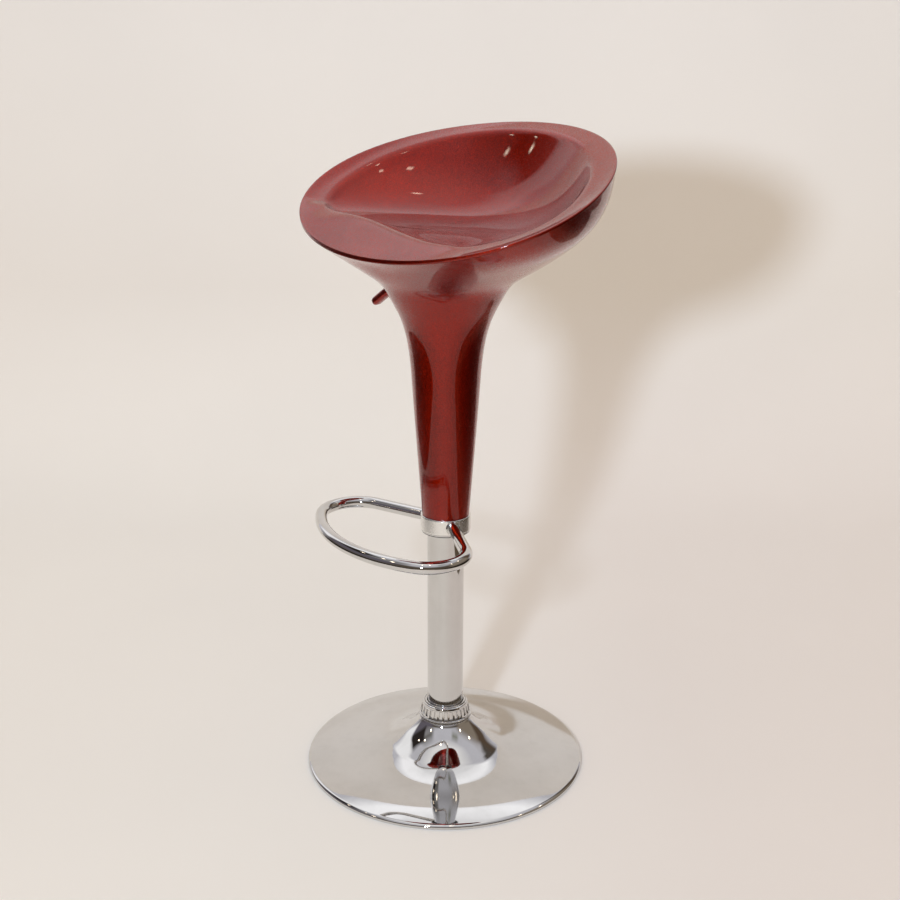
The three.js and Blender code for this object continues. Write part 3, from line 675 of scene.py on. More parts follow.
@dataclass(frozen=True)
class Lacquer:
    """Deep red metallic lacquer under a clear coat."""

    name: str = "red_lacquer"
    colour: Colour = (0.31, 0.010, 0.001)
    worn: Colour = (0.25, 0.008, 0.001)
    dusty: Colour = (0.5, 0.45, 0.42)
    dust: float = 0.05
    roughness: float = 0.36
    rougher: float = 0.08
    smudge_size: float = 7.0
    coat_roughness: float = 0.012
    coat_index: float = 1.43
    flake_cells: float = 1100.0
    flake_lean: float = 0.3
    sparkle: float = 0.5

    def build(self, effects: Effects) -> Material:
        """Makes the material.

        Args:
            effects: the shared node groups.

        Returns:
            The material.
        """
        material, sheet, shader, place = new_material(self.name)
        flakes = use_group(sheet, effects.flakes, place, Cells=self.flake_cells,
                           Lean=self.flake_lean, Sparkle=self.sparkle)
        smudges = use_group(sheet, effects.smudges, place, Size=self.smudge_size,
                            Clean=self.roughness, Dull=self.roughness + self.rougher)
        tone = sheet.mixed(smudges["Mask"], self.colour, self.worn)
        shaded = sheet.math("SCALE", tone, kind="VectorMath", Scale=flakes["Shade"])
        dust = use_group(sheet, effects.dust, place, Amount=self.dust)
        sheet.feed(shader, Base_Color=sheet.mixed(dust["Mask"], shaded, self.dusty),
                   Roughness=smudges["Roughness"], Normal=flakes["Normal"], Metallic=1.0,
                   Coat_Weight=1.0, Coat_Roughness=self.coat_roughness,
                   Coat_IOR=self.coat_index)
        return material


@dataclass(frozen=True)
class Chrome:
    """Chrome plating with faint wiping marks, bright or satin."""

    name: str = "chrome"
    colour: Colour = (0.69, 0.685, 0.68)
    dulled: Colour = (0.60, 0.595, 0.585)
    dusty: Colour = (0.55, 0.52, 0.48)
    clean: float = 0.025
    dull: float = 0.07
    dust: float = 0.06
    dust_roughness: float = 0.5
    smudge_size: float = 11.0

    def build(self, effects: Effects) -> Material:
        """Makes the material.

        Args:
            effects: the shared node groups.

        Returns:
            The material.
        """
        material, sheet, shader, place = new_material(self.name)
        smudges = use_group(sheet, effects.smudges, place, Size=self.smudge_size,
                            Clean=self.clean, Dull=self.dull)
        tone = sheet.mixed(smudges["Mask"], self.colour, self.dulled)
        dust = use_group(sheet, effects.dust, place, Amount=self.dust)["Mask"]
        sheet.feed(shader, Base_Color=sheet.mixed(dust, tone, self.dusty), Metallic=1.0,
                   Roughness=sheet.math("ADD", smudges["Roughness"],
                                        sheet.math("MULTIPLY", dust, self.dust_roughness)))
        return material


@dataclass(frozen=True)
class Grained:
    """A plain grained surface: steel, cast iron, rubber or nylon."""

    name: str
    colour: Colour
    toned: Colour
    metallic: float
    roughness: float
    stretch: Triple = (1.0, 1.0, 1.0)
    coarse: float = 120.0
    fine: float = 900.0
    depth_m: float = 0.0002
    strength: float = 0.3
    smoother: float = 0.06
    rougher: float = 0.08

    def build(self, effects: Effects) -> Material:
        """Makes the material.

        Args:
            effects: the shared node groups.

        Returns:
            The material.
        """
        material, sheet, shader, place = new_material(self.name)
        grain = use_group(sheet, effects.grain, place, Stretch=self.stretch,
                          Coarse=self.coarse, Fine=self.fine)
        bump = sheet.add("Bump", Strength=self.strength, Distance=self.depth_m,
                         Height=grain["Height"])
        sheet.feed(shader, Base_Color=sheet.mixed(grain["Tone"], self.colour, self.toned),
                   Roughness=sheet.ranged(grain["Height"], 0.3, 0.7,
                                          self.roughness - self.smoother,
                                          self.roughness + self.rougher),
                   Normal=bump.outputs[0], Metallic=self.metallic)
        return material


SATIN = Chrome("satin_chrome", (0.92, 0.91, 0.89), (0.84, 0.83, 0.81), clean=0.24, dull=0.34)
STEEL = Grained("brushed_steel", (0.46, 0.46, 0.47), (0.36, 0.36, 0.37), 1.0, 0.32,
                stretch=(1.0, 1.0, 14.0), strength=0.15)
IRON = Grained("cast_iron", (0.045, 0.045, 0.048), (0.08, 0.075, 0.07), 0.6, 0.66,
               coarse=260.0, depth_m=0.0006, strength=0.6)
RUBBER = Grained("black_rubber", (0.012, 0.012, 0.013), (0.022, 0.022, 0.022), 0.0, 0.78,
                 coarse=400.0, fine=2600.0, strength=0.4)
NYLON = Grained("black_nylon", (0.018, 0.018, 0.02), (0.03, 0.03, 0.03), 0.0, 0.45,
                coarse=300.0, fine=1800.0, strength=0.2)


class Finishes:
    """Every finish of the stool, built once."""

    def __init__(self) -> None:
        """Builds the materials."""
        effects = Effects()
        self.satin = SATIN.build(effects)
        self.by_slot = {
            Slot.RED: Lacquer().build(effects),
            Slot.CHROME: Chrome().build(effects),
            Slot.STEEL: STEEL.build(effects),
            Slot.IRON: IRON.build(effects),
            Slot.RUBBER: RUBBER.build(effects),
            Slot.NYLON: NYLON.build(effects),
        }

    def __getitem__(self, slot: Slot) -> Material:
        """Returns the material of a slot."""
        return self.by_slot[slot]


# The stool


@dataclass
class Base:
    """The chromed base shell and its trim ring.

    The stations of the shell's outer curve are radii, heights and slopes in degrees, and the
    ring's corners are radii, heights and fillets. The window frame has the thickness and
    depth of each inset.
    """

    radius: float = 195.0
    floor_gap: float = 0.6
    sheet: float = 1.2
    edge_top: float = 2.8
    edge_handle: float = 0.6
    edge_steps: int = 12
    disc_steps: int = 8
    stations: tuple[Triple, ...] = (
        (190.0, 6.9, 14.0), (165.0, 12.0, 8.8), (141.0, 14.9, 5.4), (114.0, 18.3, 9.5),
        (92.0, 23.2, 16.0), (78.0, 28.7, 28.0), (60.0, 38.8, 32.4), (48.0, 48.1, 41.9),
        (36.0, 61.0, 51.5))
    lip: tuple[Point, ...] = (
        (35.1, 63.5), (34.4, 64.0), (25.6, 64.0), (25.6, 62.8), (33.4, 62.8))
    longest: float = 6.0
    steps: int = 256
    ring_corners: tuple[Triple, ...] = (
        (25.4, 64.3, 0.2), (37.4, 64.3, 2.2), (37.4, 69.1, 2.3), (34.8, 69.2, 0.2),
        (34.3, 70.9, 0.0), (31.9, 81.9, 0.0), (31.7, 82.9, 0.2), (32.1, 83.4, 0.3),
        (31.4, 86.3, 1.1), (29.3, 87.0, 0.5), (28.9, 85.7, 0.25), (28.5, 85.7, 0.25),
        (28.1, 88.0, 0.9), (25.9, 88.0, 0.7), (25.4, 86.5, 0.2))
    window_low: float = 70.9
    window_high: float = 81.9
    window_out: float = 31.0
    window_count: int = 28
    window_faces: int = 6
    window_frame: tuple[Point, ...] = ((0.3, 0.35), (0.35, -2.0))

    def outline(self) -> list[Vector]:
        """Returns the shell's outer curve, from the floor over the disc to the neck."""
        places = [Vector(station[:2]) for station in self.stations]
        falls = [Vector((1, -math.tan(math.radians(station[2])))) for station in self.stations]
        edge = Vector((self.radius, self.edge_top))
        corner = places[0] + falls[0] * (edge.x - places[0].x)
        points = [Vector((self.radius, self.floor_gap))]
        points.extend(bezier([edge, edge.lerp(corner, self.edge_handle),
                              places[0].lerp(corner, self.edge_handle), places[0]],
                             self.edge_steps)[:-1])
        for i in range(len(places) - 1):
            reach = (places[i].x - places[i + 1].x) / 3
            points.extend(bezier([places[i], places[i] - falls[i] * reach,
                                  places[i + 1] + falls[i + 1] * reach, places[i + 1]],
                                 self.disc_steps)[:-1])
        return [*points, places[-1]]

    def shell_profile(self) -> list[Vector]:
        """Returns the base shell's closed profile, with no stretch of it too long."""
        outer = self.outline()
        under = []
        for i, point in enumerate(outer):
            way = (outer[min(i + 1, len(outer) - 1)] - outer[max(i - 1, 0)]).normalized()
            under.append(point + Vector((-way.y, way.x)) * self.sheet)
        under[0].y = self.floor_gap
        points = [*outer, *(Vector(point) for point in self.lip), *reversed(under)]
        result = []
        for here, there in zip(points, [*points[1:], points[0]]):
            count = max(1, math.ceil((there - here).length / self.longest))
            result.extend(here.lerp(there, i / count) for i in range(count))
        return result

    def ring(self) -> Mesh:
        """Returns the trim ring with its row of blind windows."""
        mesh = spun(filleted(self.ring_corners, support=0.25, arc_steps=6),
                    self.window_count * self.window_faces)
        windows = []
        for face in mesh.faces:
            centre = face.calc_center_median()
            out = math.hypot(centre.x, centre.y)
            if self.window_low < centre.z < self.window_high and out > self.window_out:
                share = math.atan2(centre.y, centre.x) / FULL_TURN * self.window_count
                if abs(share % 1 - 0.5) < 0.5 - 1 / self.window_faces:
                    windows.append(face)
        for thickness, depth in self.window_frame:
            bmesh.ops.inset_region(mesh, faces=windows, thickness=thickness, depth=depth,
                                   use_even_offset=True)
        bmesh.ops.recalc_face_normals(mesh, faces=mesh.faces[:])
        return mesh

    def build(self, finishes: Finishes) -> None:
        """Adds the base's pieces.

        Args:
            finishes: the stool's finishes.
        """
        chrome = finishes[Slot.CHROME]
        add_piece(spun(self.shell_profile(), self.steps), "base_cover", chrome, Body.BASE,
                  ["base_shell"])
        add_piece(self.ring(), "base_trim_ring", chrome, Body.BASE,
                  ["trim_ring"], sharp=35)


@dataclass
class Column:
    """The chromed column and the cap that slides on it.

    Their corners are radii, heights and fillets.
    """

    tube_corners: tuple[Triple, ...] = (
        (4.3, 6.0, 0.3), (25.0, 6.0, 0.8), (25.0, 410.0, 0.7), (23.0, 410.0, 0.5),
        (23.0, 8.5, 0.8), (4.3, 8.5, 0.3))
    cap_corners: tuple[Triple, ...] = (
        (25.5, 343.7, 0.3), (33.2, 343.7, 0.9), (33.2, 345.95, 0.4), (32.9, 345.95, 0.1),
        (32.9, 345.75, 0.1), (25.5, 345.75, 0.1))
    steps: int = 160

    def build(self, finishes: Finishes) -> None:
        """Adds the column's pieces.

        Args:
            finishes: the stool's finishes.
        """
        chrome = finishes[Slot.CHROME]
        add_piece(spun(filleted(self.tube_corners), self.steps), "chrome_column", chrome,
                  Body.BASE, ["column_tube"])
        cap = filleted(self.cap_corners, support=0.15, arc_steps=5)
        add_piece(spun(cap, self.steps), "glide_cap", chrome, Body.SEAT)


@dataclass
class Footrest:
    """The collar and the bent tube welded to it, turned together about the column.

    Each of weld_rows says how far a ring of the weld lies outside the collar, and its share
    of the weld's rise.
    """

    collar_inner: float = 29.6
    collar_radius: float = 34.0
    collar_bottom: float = 346.0
    collar_height: float = 21.0
    edge_round: float = 1.1
    inner_round: float = 0.3
    screw_radius: float = 3.0
    screw_depth: float = 12.0
    screw_spread: float = 60.0
    screw_sides: int = 32
    tube_radius: float = 8.3
    half_width: float = 137.0
    reach: float = 162.0
    front_radius: float = 211.0
    corner_radius: float = 49.0
    arm_side: float = 24.0
    arm_forward: float = 6.4
    turn: float = -13.0
    sides: int = 36
    spacing: float = 4.0
    weld_reach: float = 14.0
    weld_rise: float = 1.5
    weld_rows: tuple[Point, ...] = (
        (-1.0, 1.0), (0.0, 1.0), (0.5, 0.9), (1.1, 0.55), (1.8, 0.2), (2.6, 0.04), (4.0, 0.0),
        (7.0, 0.0))
    steps: int = 160

    @property
    def height(self) -> float:
        """The height of the tube's middle."""
        return self.collar_bottom + self.collar_height / 2

    @property
    def turned(self) -> Matrix:
        """The footrest's turn about the column."""
        return Matrix.Rotation(math.radians(self.turn), 4, "Z")

    def collar(self) -> Mesh:
        """Returns the collar with its two screw holes."""
        top = self.collar_bottom + self.collar_height
        mesh = spun(filleted([
            (self.collar_inner, self.collar_bottom, self.inner_round),
            (self.collar_radius, self.collar_bottom, self.edge_round),
            (self.collar_radius, top, self.edge_round),
            (self.collar_inner, top, self.inner_round)]), self.steps)
        for side in (-0.5, 0.5):
            bearing = QUARTER_TURN + math.radians(side * self.screw_spread)
            hole = bmesh.new()
            bmesh.ops.create_cone(hole, cap_ends=True, segments=self.screw_sides,
                                  radius1=self.screw_radius, radius2=self.screw_radius,
                                  depth=self.screw_depth)
            place = (Matrix.Rotation(bearing, 4, "Z")
                     @ Matrix.Translation((self.collar_radius, 0, self.height))
                     @ Matrix.Rotation(QUARTER_TURN, 4, "Y"))
            bmesh.ops.transform(hole, matrix=place, verts=hole.verts)
            mesh = cut_by(mesh, hole)
        bmesh.ops.transform(mesh, matrix=self.turned, verts=mesh.verts)
        return mesh

    def path(self) -> list[Step]:
        """Returns the tube's middle line in plan, from root to root, with its directions."""
        front = Vector((0, self.front_radius - self.reach))
        corner_x = self.half_width - self.corner_radius
        drop = math.sqrt((self.front_radius - self.corner_radius) ** 2 - corner_x ** 2)
        corner = Vector((corner_x, front.y - drop))
        root = Vector((self.arm_side, -self.arm_forward))
        toward = corner - root
        arm_angle = (math.atan2(toward.y, toward.x)
                     + math.asin(self.corner_radius / toward.length))
        arm = math.sqrt(toward.length ** 2 - self.corner_radius ** 2)
        touch = polar(arm, arm_angle) + root - corner
        first = math.atan2(touch.y, touch.x)
        second = math.atan2(corner.y - front.y, corner.x - front.x)
        other_corner = Vector((-corner.x, corner.y))
        other_touch = Vector((-touch.x, touch.y))
        other_root = Vector((-root.x, root.y))
        gap, radius = self.spacing, self.corner_radius
        steps = [
            *straight_run(root, corner + touch, gap),
            *arc_run(corner, radius, first, second, gap),
            *arc_run(front, self.front_radius, second, -math.pi - second, gap),
            *arc_run(other_corner, radius, -math.pi - second, -math.pi - first, gap),
            *straight_run(other_corner + other_touch, other_root, gap)]
        return [*steps, (other_root, steps[-1][1])]

    def tube_ring(self, point: Vector, direction: Vector) -> list[Vector]:
        """Returns the tube's ring of vertices round a point of its middle line.

        Args:
            point: the point in plan.
            direction: the line's direction there.

        Returns:
            The vertices' places.
        """
        radius = self.tube_radius
        return [Vector((point.x + direction.y * radius * math.cos(angle),
                        point.y - direction.x * radius * math.cos(angle),
                        self.height + radius * math.sin(angle)))
                for angle in round_angles(self.sides)]

    def loop(self) -> Mesh:
        """Returns the bent tube, its ends fitted to the collar with a weld."""
        steps = self.path()
        clear = self.collar_radius + self.weld_reach
        rings = [self.tube_ring(point, direction) for point, direction in steps
                 if point.length > clear]
        (root, leaving), (other_root, arriving) = steps[0], steps[-1]
        head = self.weld(rings[0], leaving, root)
        tail = self.weld(rings[-1], -arriving, other_root)
        mesh = lofted([*head, *rings, *reversed(tail)], LoftEnd.POLES)
        bmesh.ops.transform(mesh, matrix=self.turned, verts=mesh.verts)
        return mesh

    def weld(self, ring: Sequence[Vector], direction: Vector, root: Vector) -> list[list[Vector]]:
        """Draws the swollen weld between the collar's surface and a ring of the tube.

        Args:
            ring: the first full ring of the tube.
            direction: the arm's direction, away from the collar.
            root: the arm's root.

        Returns:
            The rings, from inside the collar outwards.
        """
        rows: list[list[Vector]] = []
        for out, rise in self.weld_rows:
            row = []
            for point in ring:
                flat = Vector((point.x, point.y))
                along = (flat - root).dot(direction)
                middle = root + direction * along
                away = Vector((*(flat - middle), point.z - self.height))
                spot = flat - direction * along
                wanted = self.collar_radius + out
                low = spot.dot(direction)
                reach = -low + math.sqrt(max(0.0, low ** 2 - spot.length_squared + wanted ** 2))
                swollen = away * (1 + rise * self.weld_rise / self.tube_radius)
                centre = spot + direction * reach - Vector((away.x, away.y))
                row.append(Vector((centre.x + swollen.x, centre.y + swollen.y,
                                   self.height + swollen.z)))
            rows.append(row)
        return rows

    def build(self, finishes: Finishes) -> None:
        """Adds the footrest's pieces.

        Args:
            finishes: the stool's finishes.
        """
        chrome = finishes[Slot.CHROME]
        add_piece(self.collar(), "chrome_collar", finishes.satin, Body.SEAT,
                  ["footrest_collar"])
        add_piece(self.loop(), "footrest_tube", chrome, Body.SEAT,
                  ["footrest_loop"], sharp=60)


@dataclass(frozen=True)
class Rod:
    """The lever rod's line past its bend, which the stem's slot and the grip follow."""

    height: float = 704.0
    bend_out: float = 42.0
    slope: float = math.radians(36)

    def place(self, out: float, turn: float = 0.0) -> Matrix:
        """Finds a place on the rod.

        Args:
            out: how far the place is from the column's middle, towards -X.
            turn: a turn from the rod's own direction, about the Y axis.

        Returns:
            The place, with its X axis along the rod before the turn.
        """
        fall = (out - self.bend_out) * math.tan(self.slope)
        return (Matrix.Translation((-out, 0, self.height - fall))
                @ Matrix.Rotation(turn - self.slope, 4, "Y"))


@dataclass
class Seat:
    """The moulded seat: a pan with a basin over a stem that flares into a bowl.

    Slopes whose names start with steep, leave or meet are in degrees.
    """

    rim_half_width: float = 227.0
    rim_half_depth: float = 179.0
    rim_centre_back: float = 23.0
    rim_centre_height: float = 809.0
    rim_tilt: float = math.radians(24)
    rim_taper: float = 0.13
    rim_arch: float = 13.4
    rim_skirt: float = 4.6
    rim_round: float = 1.3
    rim_draft: float = 0.1
    rim_chamfer: float = 0.6
    rim_set_back: float = 1.0
    rim_flange: float = 8.5
    pan_wall: float = 4.0
    centre_back: float = 4.0
    floor_height: float = 748.0
    band_back: float = 24.0
    band_side: float = 36.0
    band_power: float = 1.6
    dip_back: float = 3.0
    dip_side: float = 9.5
    corner_dip: float = 4.0
    ridge_back: float = -97.0
    ridge_turn: float = math.radians(-11)
    ridge_bow: float = 12.0
    ridge_blend: float = 14.0
    ridge_fade: float = 3.0
    lip_stand: float = 1.5
    steep_back: float = 66.0
    steep_side: float = 58.0
    steep_front: float = 30.0
    wall_handle: float = 0.75
    floor_handle_side: float = 0.55
    floor_handle_back: float = 0.5
    band_soft: float = 4.5
    ridge_soft: float = 11.0
    foot: float = 367.3
    foot_radius: float = 32.0
    stem_wall: float = 2.4
    shell_wall: float = 3.0
    knee: Point = (44.7, 540.0)
    knee_flare: float = math.radians(2.5)
    knee_handle: float = 0.68
    throat: Point = (83.0, 682.0)
    throat_steep: float = math.radians(65)
    throat_handle: float = 0.36
    throat_soft: float = 10.0
    stem_soft: float = 16.0
    soft_from: float = 600.0
    soft_over: float = 60.0
    leave_front: float = 34.0
    leave_back: float = 29.0
    meet_front: float = 18.0
    meet_back: float = 103.0
    low_handle: float = 0.58
    high_handle: float = 0.33
    rod: Rod = Rod()
    slot_out: float = 81.0
    slot_length: float = 62.0
    slot_width: float = 13.0
    slot_below: float = 5.0
    slot_above: float = 10.0
    columns: int = 192
    band_steps: int = 12
    curve_steps: int = 40
    wall_steps: int = 60
    curl_steps: int = 6
    pole_clear: float = 0.5
    pan_rows: int = 110
    under_rows: int = 24
    stem_rows: int = 150
    inner_rows: int = 40

    def rim_height(self, back: float) -> float:
        """Finds the rim's height.

        Args:
            back: how far towards the back a place on the rim is.

        Returns:
            The height there.
        """
        along = (back - self.rim_centre_back) / math.cos(self.rim_tilt)
        arch = self.rim_arch * (0.5 - (along / self.rim_half_depth) ** 2)
        return self.rim_centre_height + along * math.sin(self.rim_tilt) + arch

    def rim_point(self, angle: float) -> Vector:
        """Finds a point of the rim, which is an egg in plan.

        Args:
            angle: the angle round the egg, from the sitter's left.

        Returns:
            The point.
        """
        side = self.rim_half_width * math.cos(angle) * (1 - self.rim_taper * math.sin(angle))
        back = (self.rim_centre_back
                + self.rim_half_depth * math.sin(angle) * math.cos(self.rim_tilt))
        return Vector((side, back, self.rim_height(back)))

    def ridge_distance(self, sideways: float, heading: float) -> float:
        """Finds how far the basin's front ridge is from its centre in a direction.

        Args:
            sideways: the direction's part along X.
            heading: its part along Y.

        Returns:
            The distance, which has no end where the direction doesn't meet the ridge.
        """
        slope = heading - sideways * math.tan(self.ridge_turn)
        if slope >= -TINY:
            return math.inf
        straight = (self.ridge_back - self.centre_back) / slope
        bow = self.ridge_bow * max(0.0, 1 - (sideways * straight / self.rim_half_width) ** 2)
        return straight + bow / slope

    def pan_section(self, angle: float) -> tuple[Vector, float, np.ndarray]:
        """Returns one column of the pan's top.

        Args:
            angle: the column's angle round the rim.

        Returns:
            The column's plan direction, its reach, and (radius, height) rows from the rim
            in to the basin's centre.
        """
        rim = self.rim_point(angle)
        offset = Vector((rim.x, rim.y - self.centre_back))
        reach = offset.length
        direction = offset / reach
        back = max(0.0, math.sin(angle))
        side_band = reach - mix(self.band_side, self.band_back, back)
        ridge = self.ridge_distance(direction.x, direction.y)
        apart = min(ridge, FAR) - side_band
        fade = self.ridge_fade * self.ridge_blend
        blend = max(0.0, self.ridge_blend - abs(apart))
        inner = min(side_band, ridge) - blend ** 2 / (4 * self.ridge_blend)
        front = smoothstep(-apart, -self.ridge_blend, fade)
        corner = max(0.0, 1 - (apart / fade) ** 2) ** 2
        dip = mix(mix(mix(self.dip_side, self.dip_back, back), -self.lip_stand, front),
                  self.corner_dip, corner)
        steep = math.radians(mix(mix(self.steep_side, self.steep_back, back),
                                 self.steep_front, front))

        def band_at(share: float) -> Vector:
            """Finds a point of the band between the rim and the basin's wall.

            Args:
                share: how much of the way from the rim the point is.

            Returns:
                The point.
            """
            radius = mix(reach, inner, share)
            height = self.rim_height(self.centre_back + direction.y * radius)
            return Vector((radius, height - dip * (1 - (1 - share) ** self.band_power)))

        start = band_at(1.0)
        fall = start.y - self.floor_height
        wall = start - polar(self.wall_handle * fall / math.sin(steep), steep)
        floor_share = mix(self.floor_handle_side, self.floor_handle_back, back)
        floor = Vector((floor_share * inner, self.floor_height))
        line = [band_at(i / self.band_steps) for i in range(self.band_steps)]
        line += bezier([start, wall, floor, Vector((0.0, self.floor_height))],
                       self.wall_steps)
        soft = mix(self.band_soft, self.ridge_soft, front)
        return direction, reach, softened(line, lambda points: np.full(len(points), soft))

    def pan(self) -> Mesh:
        """Returns the seat pan."""
        columns = []
        for angle in round_angles(self.columns):
            direction, reach, rows = self.pan_section(angle)
            rim_z = rows[0][1]
            top = spaced([Vector(row) for row in rows if row[0] < reach - self.rim_round],
                         self.pan_rows)
            edge_z = float(top[0][1])
            curl = [(reach - self.rim_round * (1 - math.cos(a)),
                     edge_z - self.rim_round * (1 - math.sin(a)))
                    for a in np.linspace(QUARTER_TURN, 0, self.curl_steps + 1)[1:]]
            foot_z = rim_z - self.rim_skirt
            skirt = [(reach - self.rim_draft, foot_z + self.rim_chamfer),
                     (reach - self.rim_chamfer, foot_z), (reach - self.rim_flange, foot_z)]
            along = np.gradient(top, axis=0)
            along /= np.hypot(*along.T)[:, None]
            under = top + self.pan_wall * np.stack([-along[:, 1], along[:, 0]], axis=1)
            under = under[(under[:, 0] < reach - self.rim_flange - FIT)
                          & (under[:, 0] > self.pole_clear)]
            below = spaced([Vector(row) for row in under], self.under_rows)
            section = [*top[::-1][1:], *curl, *skirt, *below]
            columns.append([
                Vector((direction.x * radius, self.centre_back + direction.y * radius, height))
                for radius, height in section])
        return lofted(list(zip(*columns)), LoftEnd.POLES)

    def stem_curve(self, inset: float) -> list[Vector]:
        """Draws the stem's section from its foot to the throat.

        Args:
            inset: how far it lies inside the stem's outer face.

        Returns:
            The section's (radius, height) points.
        """
        knee = Vector((self.knee[0] - inset, self.knee[1]))
        throat = Vector((self.throat[0] - inset * math.sin(self.throat_steep),
                         self.throat[1] + inset * math.cos(self.throat_steep)))
        length = (throat - knee).length
        low = knee + polar(self.knee_handle * length, QUARTER_TURN - self.knee_flare)
        high = throat - polar(self.throat_handle * length, self.throat_steep)
        foot = Vector((self.foot_radius - inset, self.foot))
        return [foot, *bezier([knee, low, high, throat], self.curve_steps)]

    @staticmethod
    def slope_at(angle: float, front: float, back: float) -> float:
        """Returns a column's slope in radians, from the front's and the back's in degrees."""
        return math.radians(mix(front, back, math.sqrt((1 + math.sin(angle)) / 2)))

    def bowl_curve(self, angle: float, throat: Vector, set_back: float) -> tuple[
            float, list[Vector]]:
        """Returns the bowl's section at one column, from the throat out to its edge.

        Args:
            angle: the column's angle round the rim.
            throat: where the stem ends.
            set_back: how far the edge lies in from the rim.

        Returns:
            The column's bearing and its (radius, height) points.
        """
        rim = self.rim_point(angle)
        bearing = math.atan2(rim.y, rim.x)
        edge = Vector((math.hypot(rim.x, rim.y) - set_back, rim.z - self.rim_skirt - FIT))
        chord = (edge - throat).length
        leave = self.slope_at(angle, self.leave_front, self.leave_back)
        meet = self.slope_at(angle, self.meet_front, self.meet_back)
        low = throat + polar(self.low_handle * chord, leave)
        high = edge - polar(self.high_handle * chord, meet)
        return bearing, bezier([throat, low, high, edge], self.curve_steps)[1:]

    def edge_wall(self, angle: float) -> float:
        """Finds how thick the bowl's wall is at its edge, measured across.

        Args:
            angle: the column's angle round the rim.

        Returns:
            The thickness.
        """
        meet = self.slope_at(angle, self.meet_front, self.meet_back)
        return min(self.shell_wall / math.sin(min(meet, QUARTER_TURN)),
                   self.rim_flange - self.rim_set_back)

    def stem_softness(self, rows: np.ndarray) -> np.ndarray:
        """Returns how softly the stem's section is rounded at each of its points."""
        share = np.clip((rows[:, 1] - self.soft_from) / self.soft_over, 0, 1)
        return self.stem_soft + (self.throat_soft - self.stem_soft) * share

    def stem(self) -> Mesh:
        """Returns the stem and bowl with the lever's slot."""
        outer_stem = self.stem_curve(0)
        inner_stem = self.stem_curve(self.stem_wall)
        columns = []
        for angle in round_angles(self.columns):
            bearing, outer = self.bowl_curve(angle, outer_stem[-1], self.rim_set_back)
            _, inner = self.bowl_curve(angle, inner_stem[-1],
                                       self.rim_set_back + self.edge_wall(angle))
            outside = spaced([Vector(row) for row in softened(
                [*outer_stem, *outer], self.stem_softness)], self.stem_rows)
            inside = spaced([Vector(row) for row in softened(
                [*inner_stem, *inner], self.stem_softness)], self.inner_rows)
            columns.append([
                Vector((radius * math.cos(bearing), radius * math.sin(bearing), height))
                for radius, height in [*outside, *inside[::-1]]])
        place = self.rod.place(self.slot_out) @ Matrix.Translation(
            (0, 0, (self.slot_above - self.slot_below) / 2))
        size = Vector((self.slot_length, self.slot_width, self.slot_above + self.slot_below))
        slot = bmesh.new()
        bmesh.ops.create_cube(slot, size=1)
        bmesh.ops.scale(slot, vec=size, verts=slot.verts)
        bmesh.ops.transform(slot, matrix=place, verts=slot.verts)
        return cut_by(lofted(list(zip(*columns)), LoftEnd.LOOP), slot)

    def build(self, finishes: Finishes) -> None:
        """Adds the seat's pieces.

        Args:
            finishes: the stool's finishes.
        """
        red = finishes[Slot.RED]
        add_piece(self.pan(), "lacquered_pan", red, Body.SEAT, ["seat_pan"], sharp=50)
        add_piece(self.stem(), "lacquered_stem", red, Body.SEAT, ["stem_shell"],
                  sharp=35)


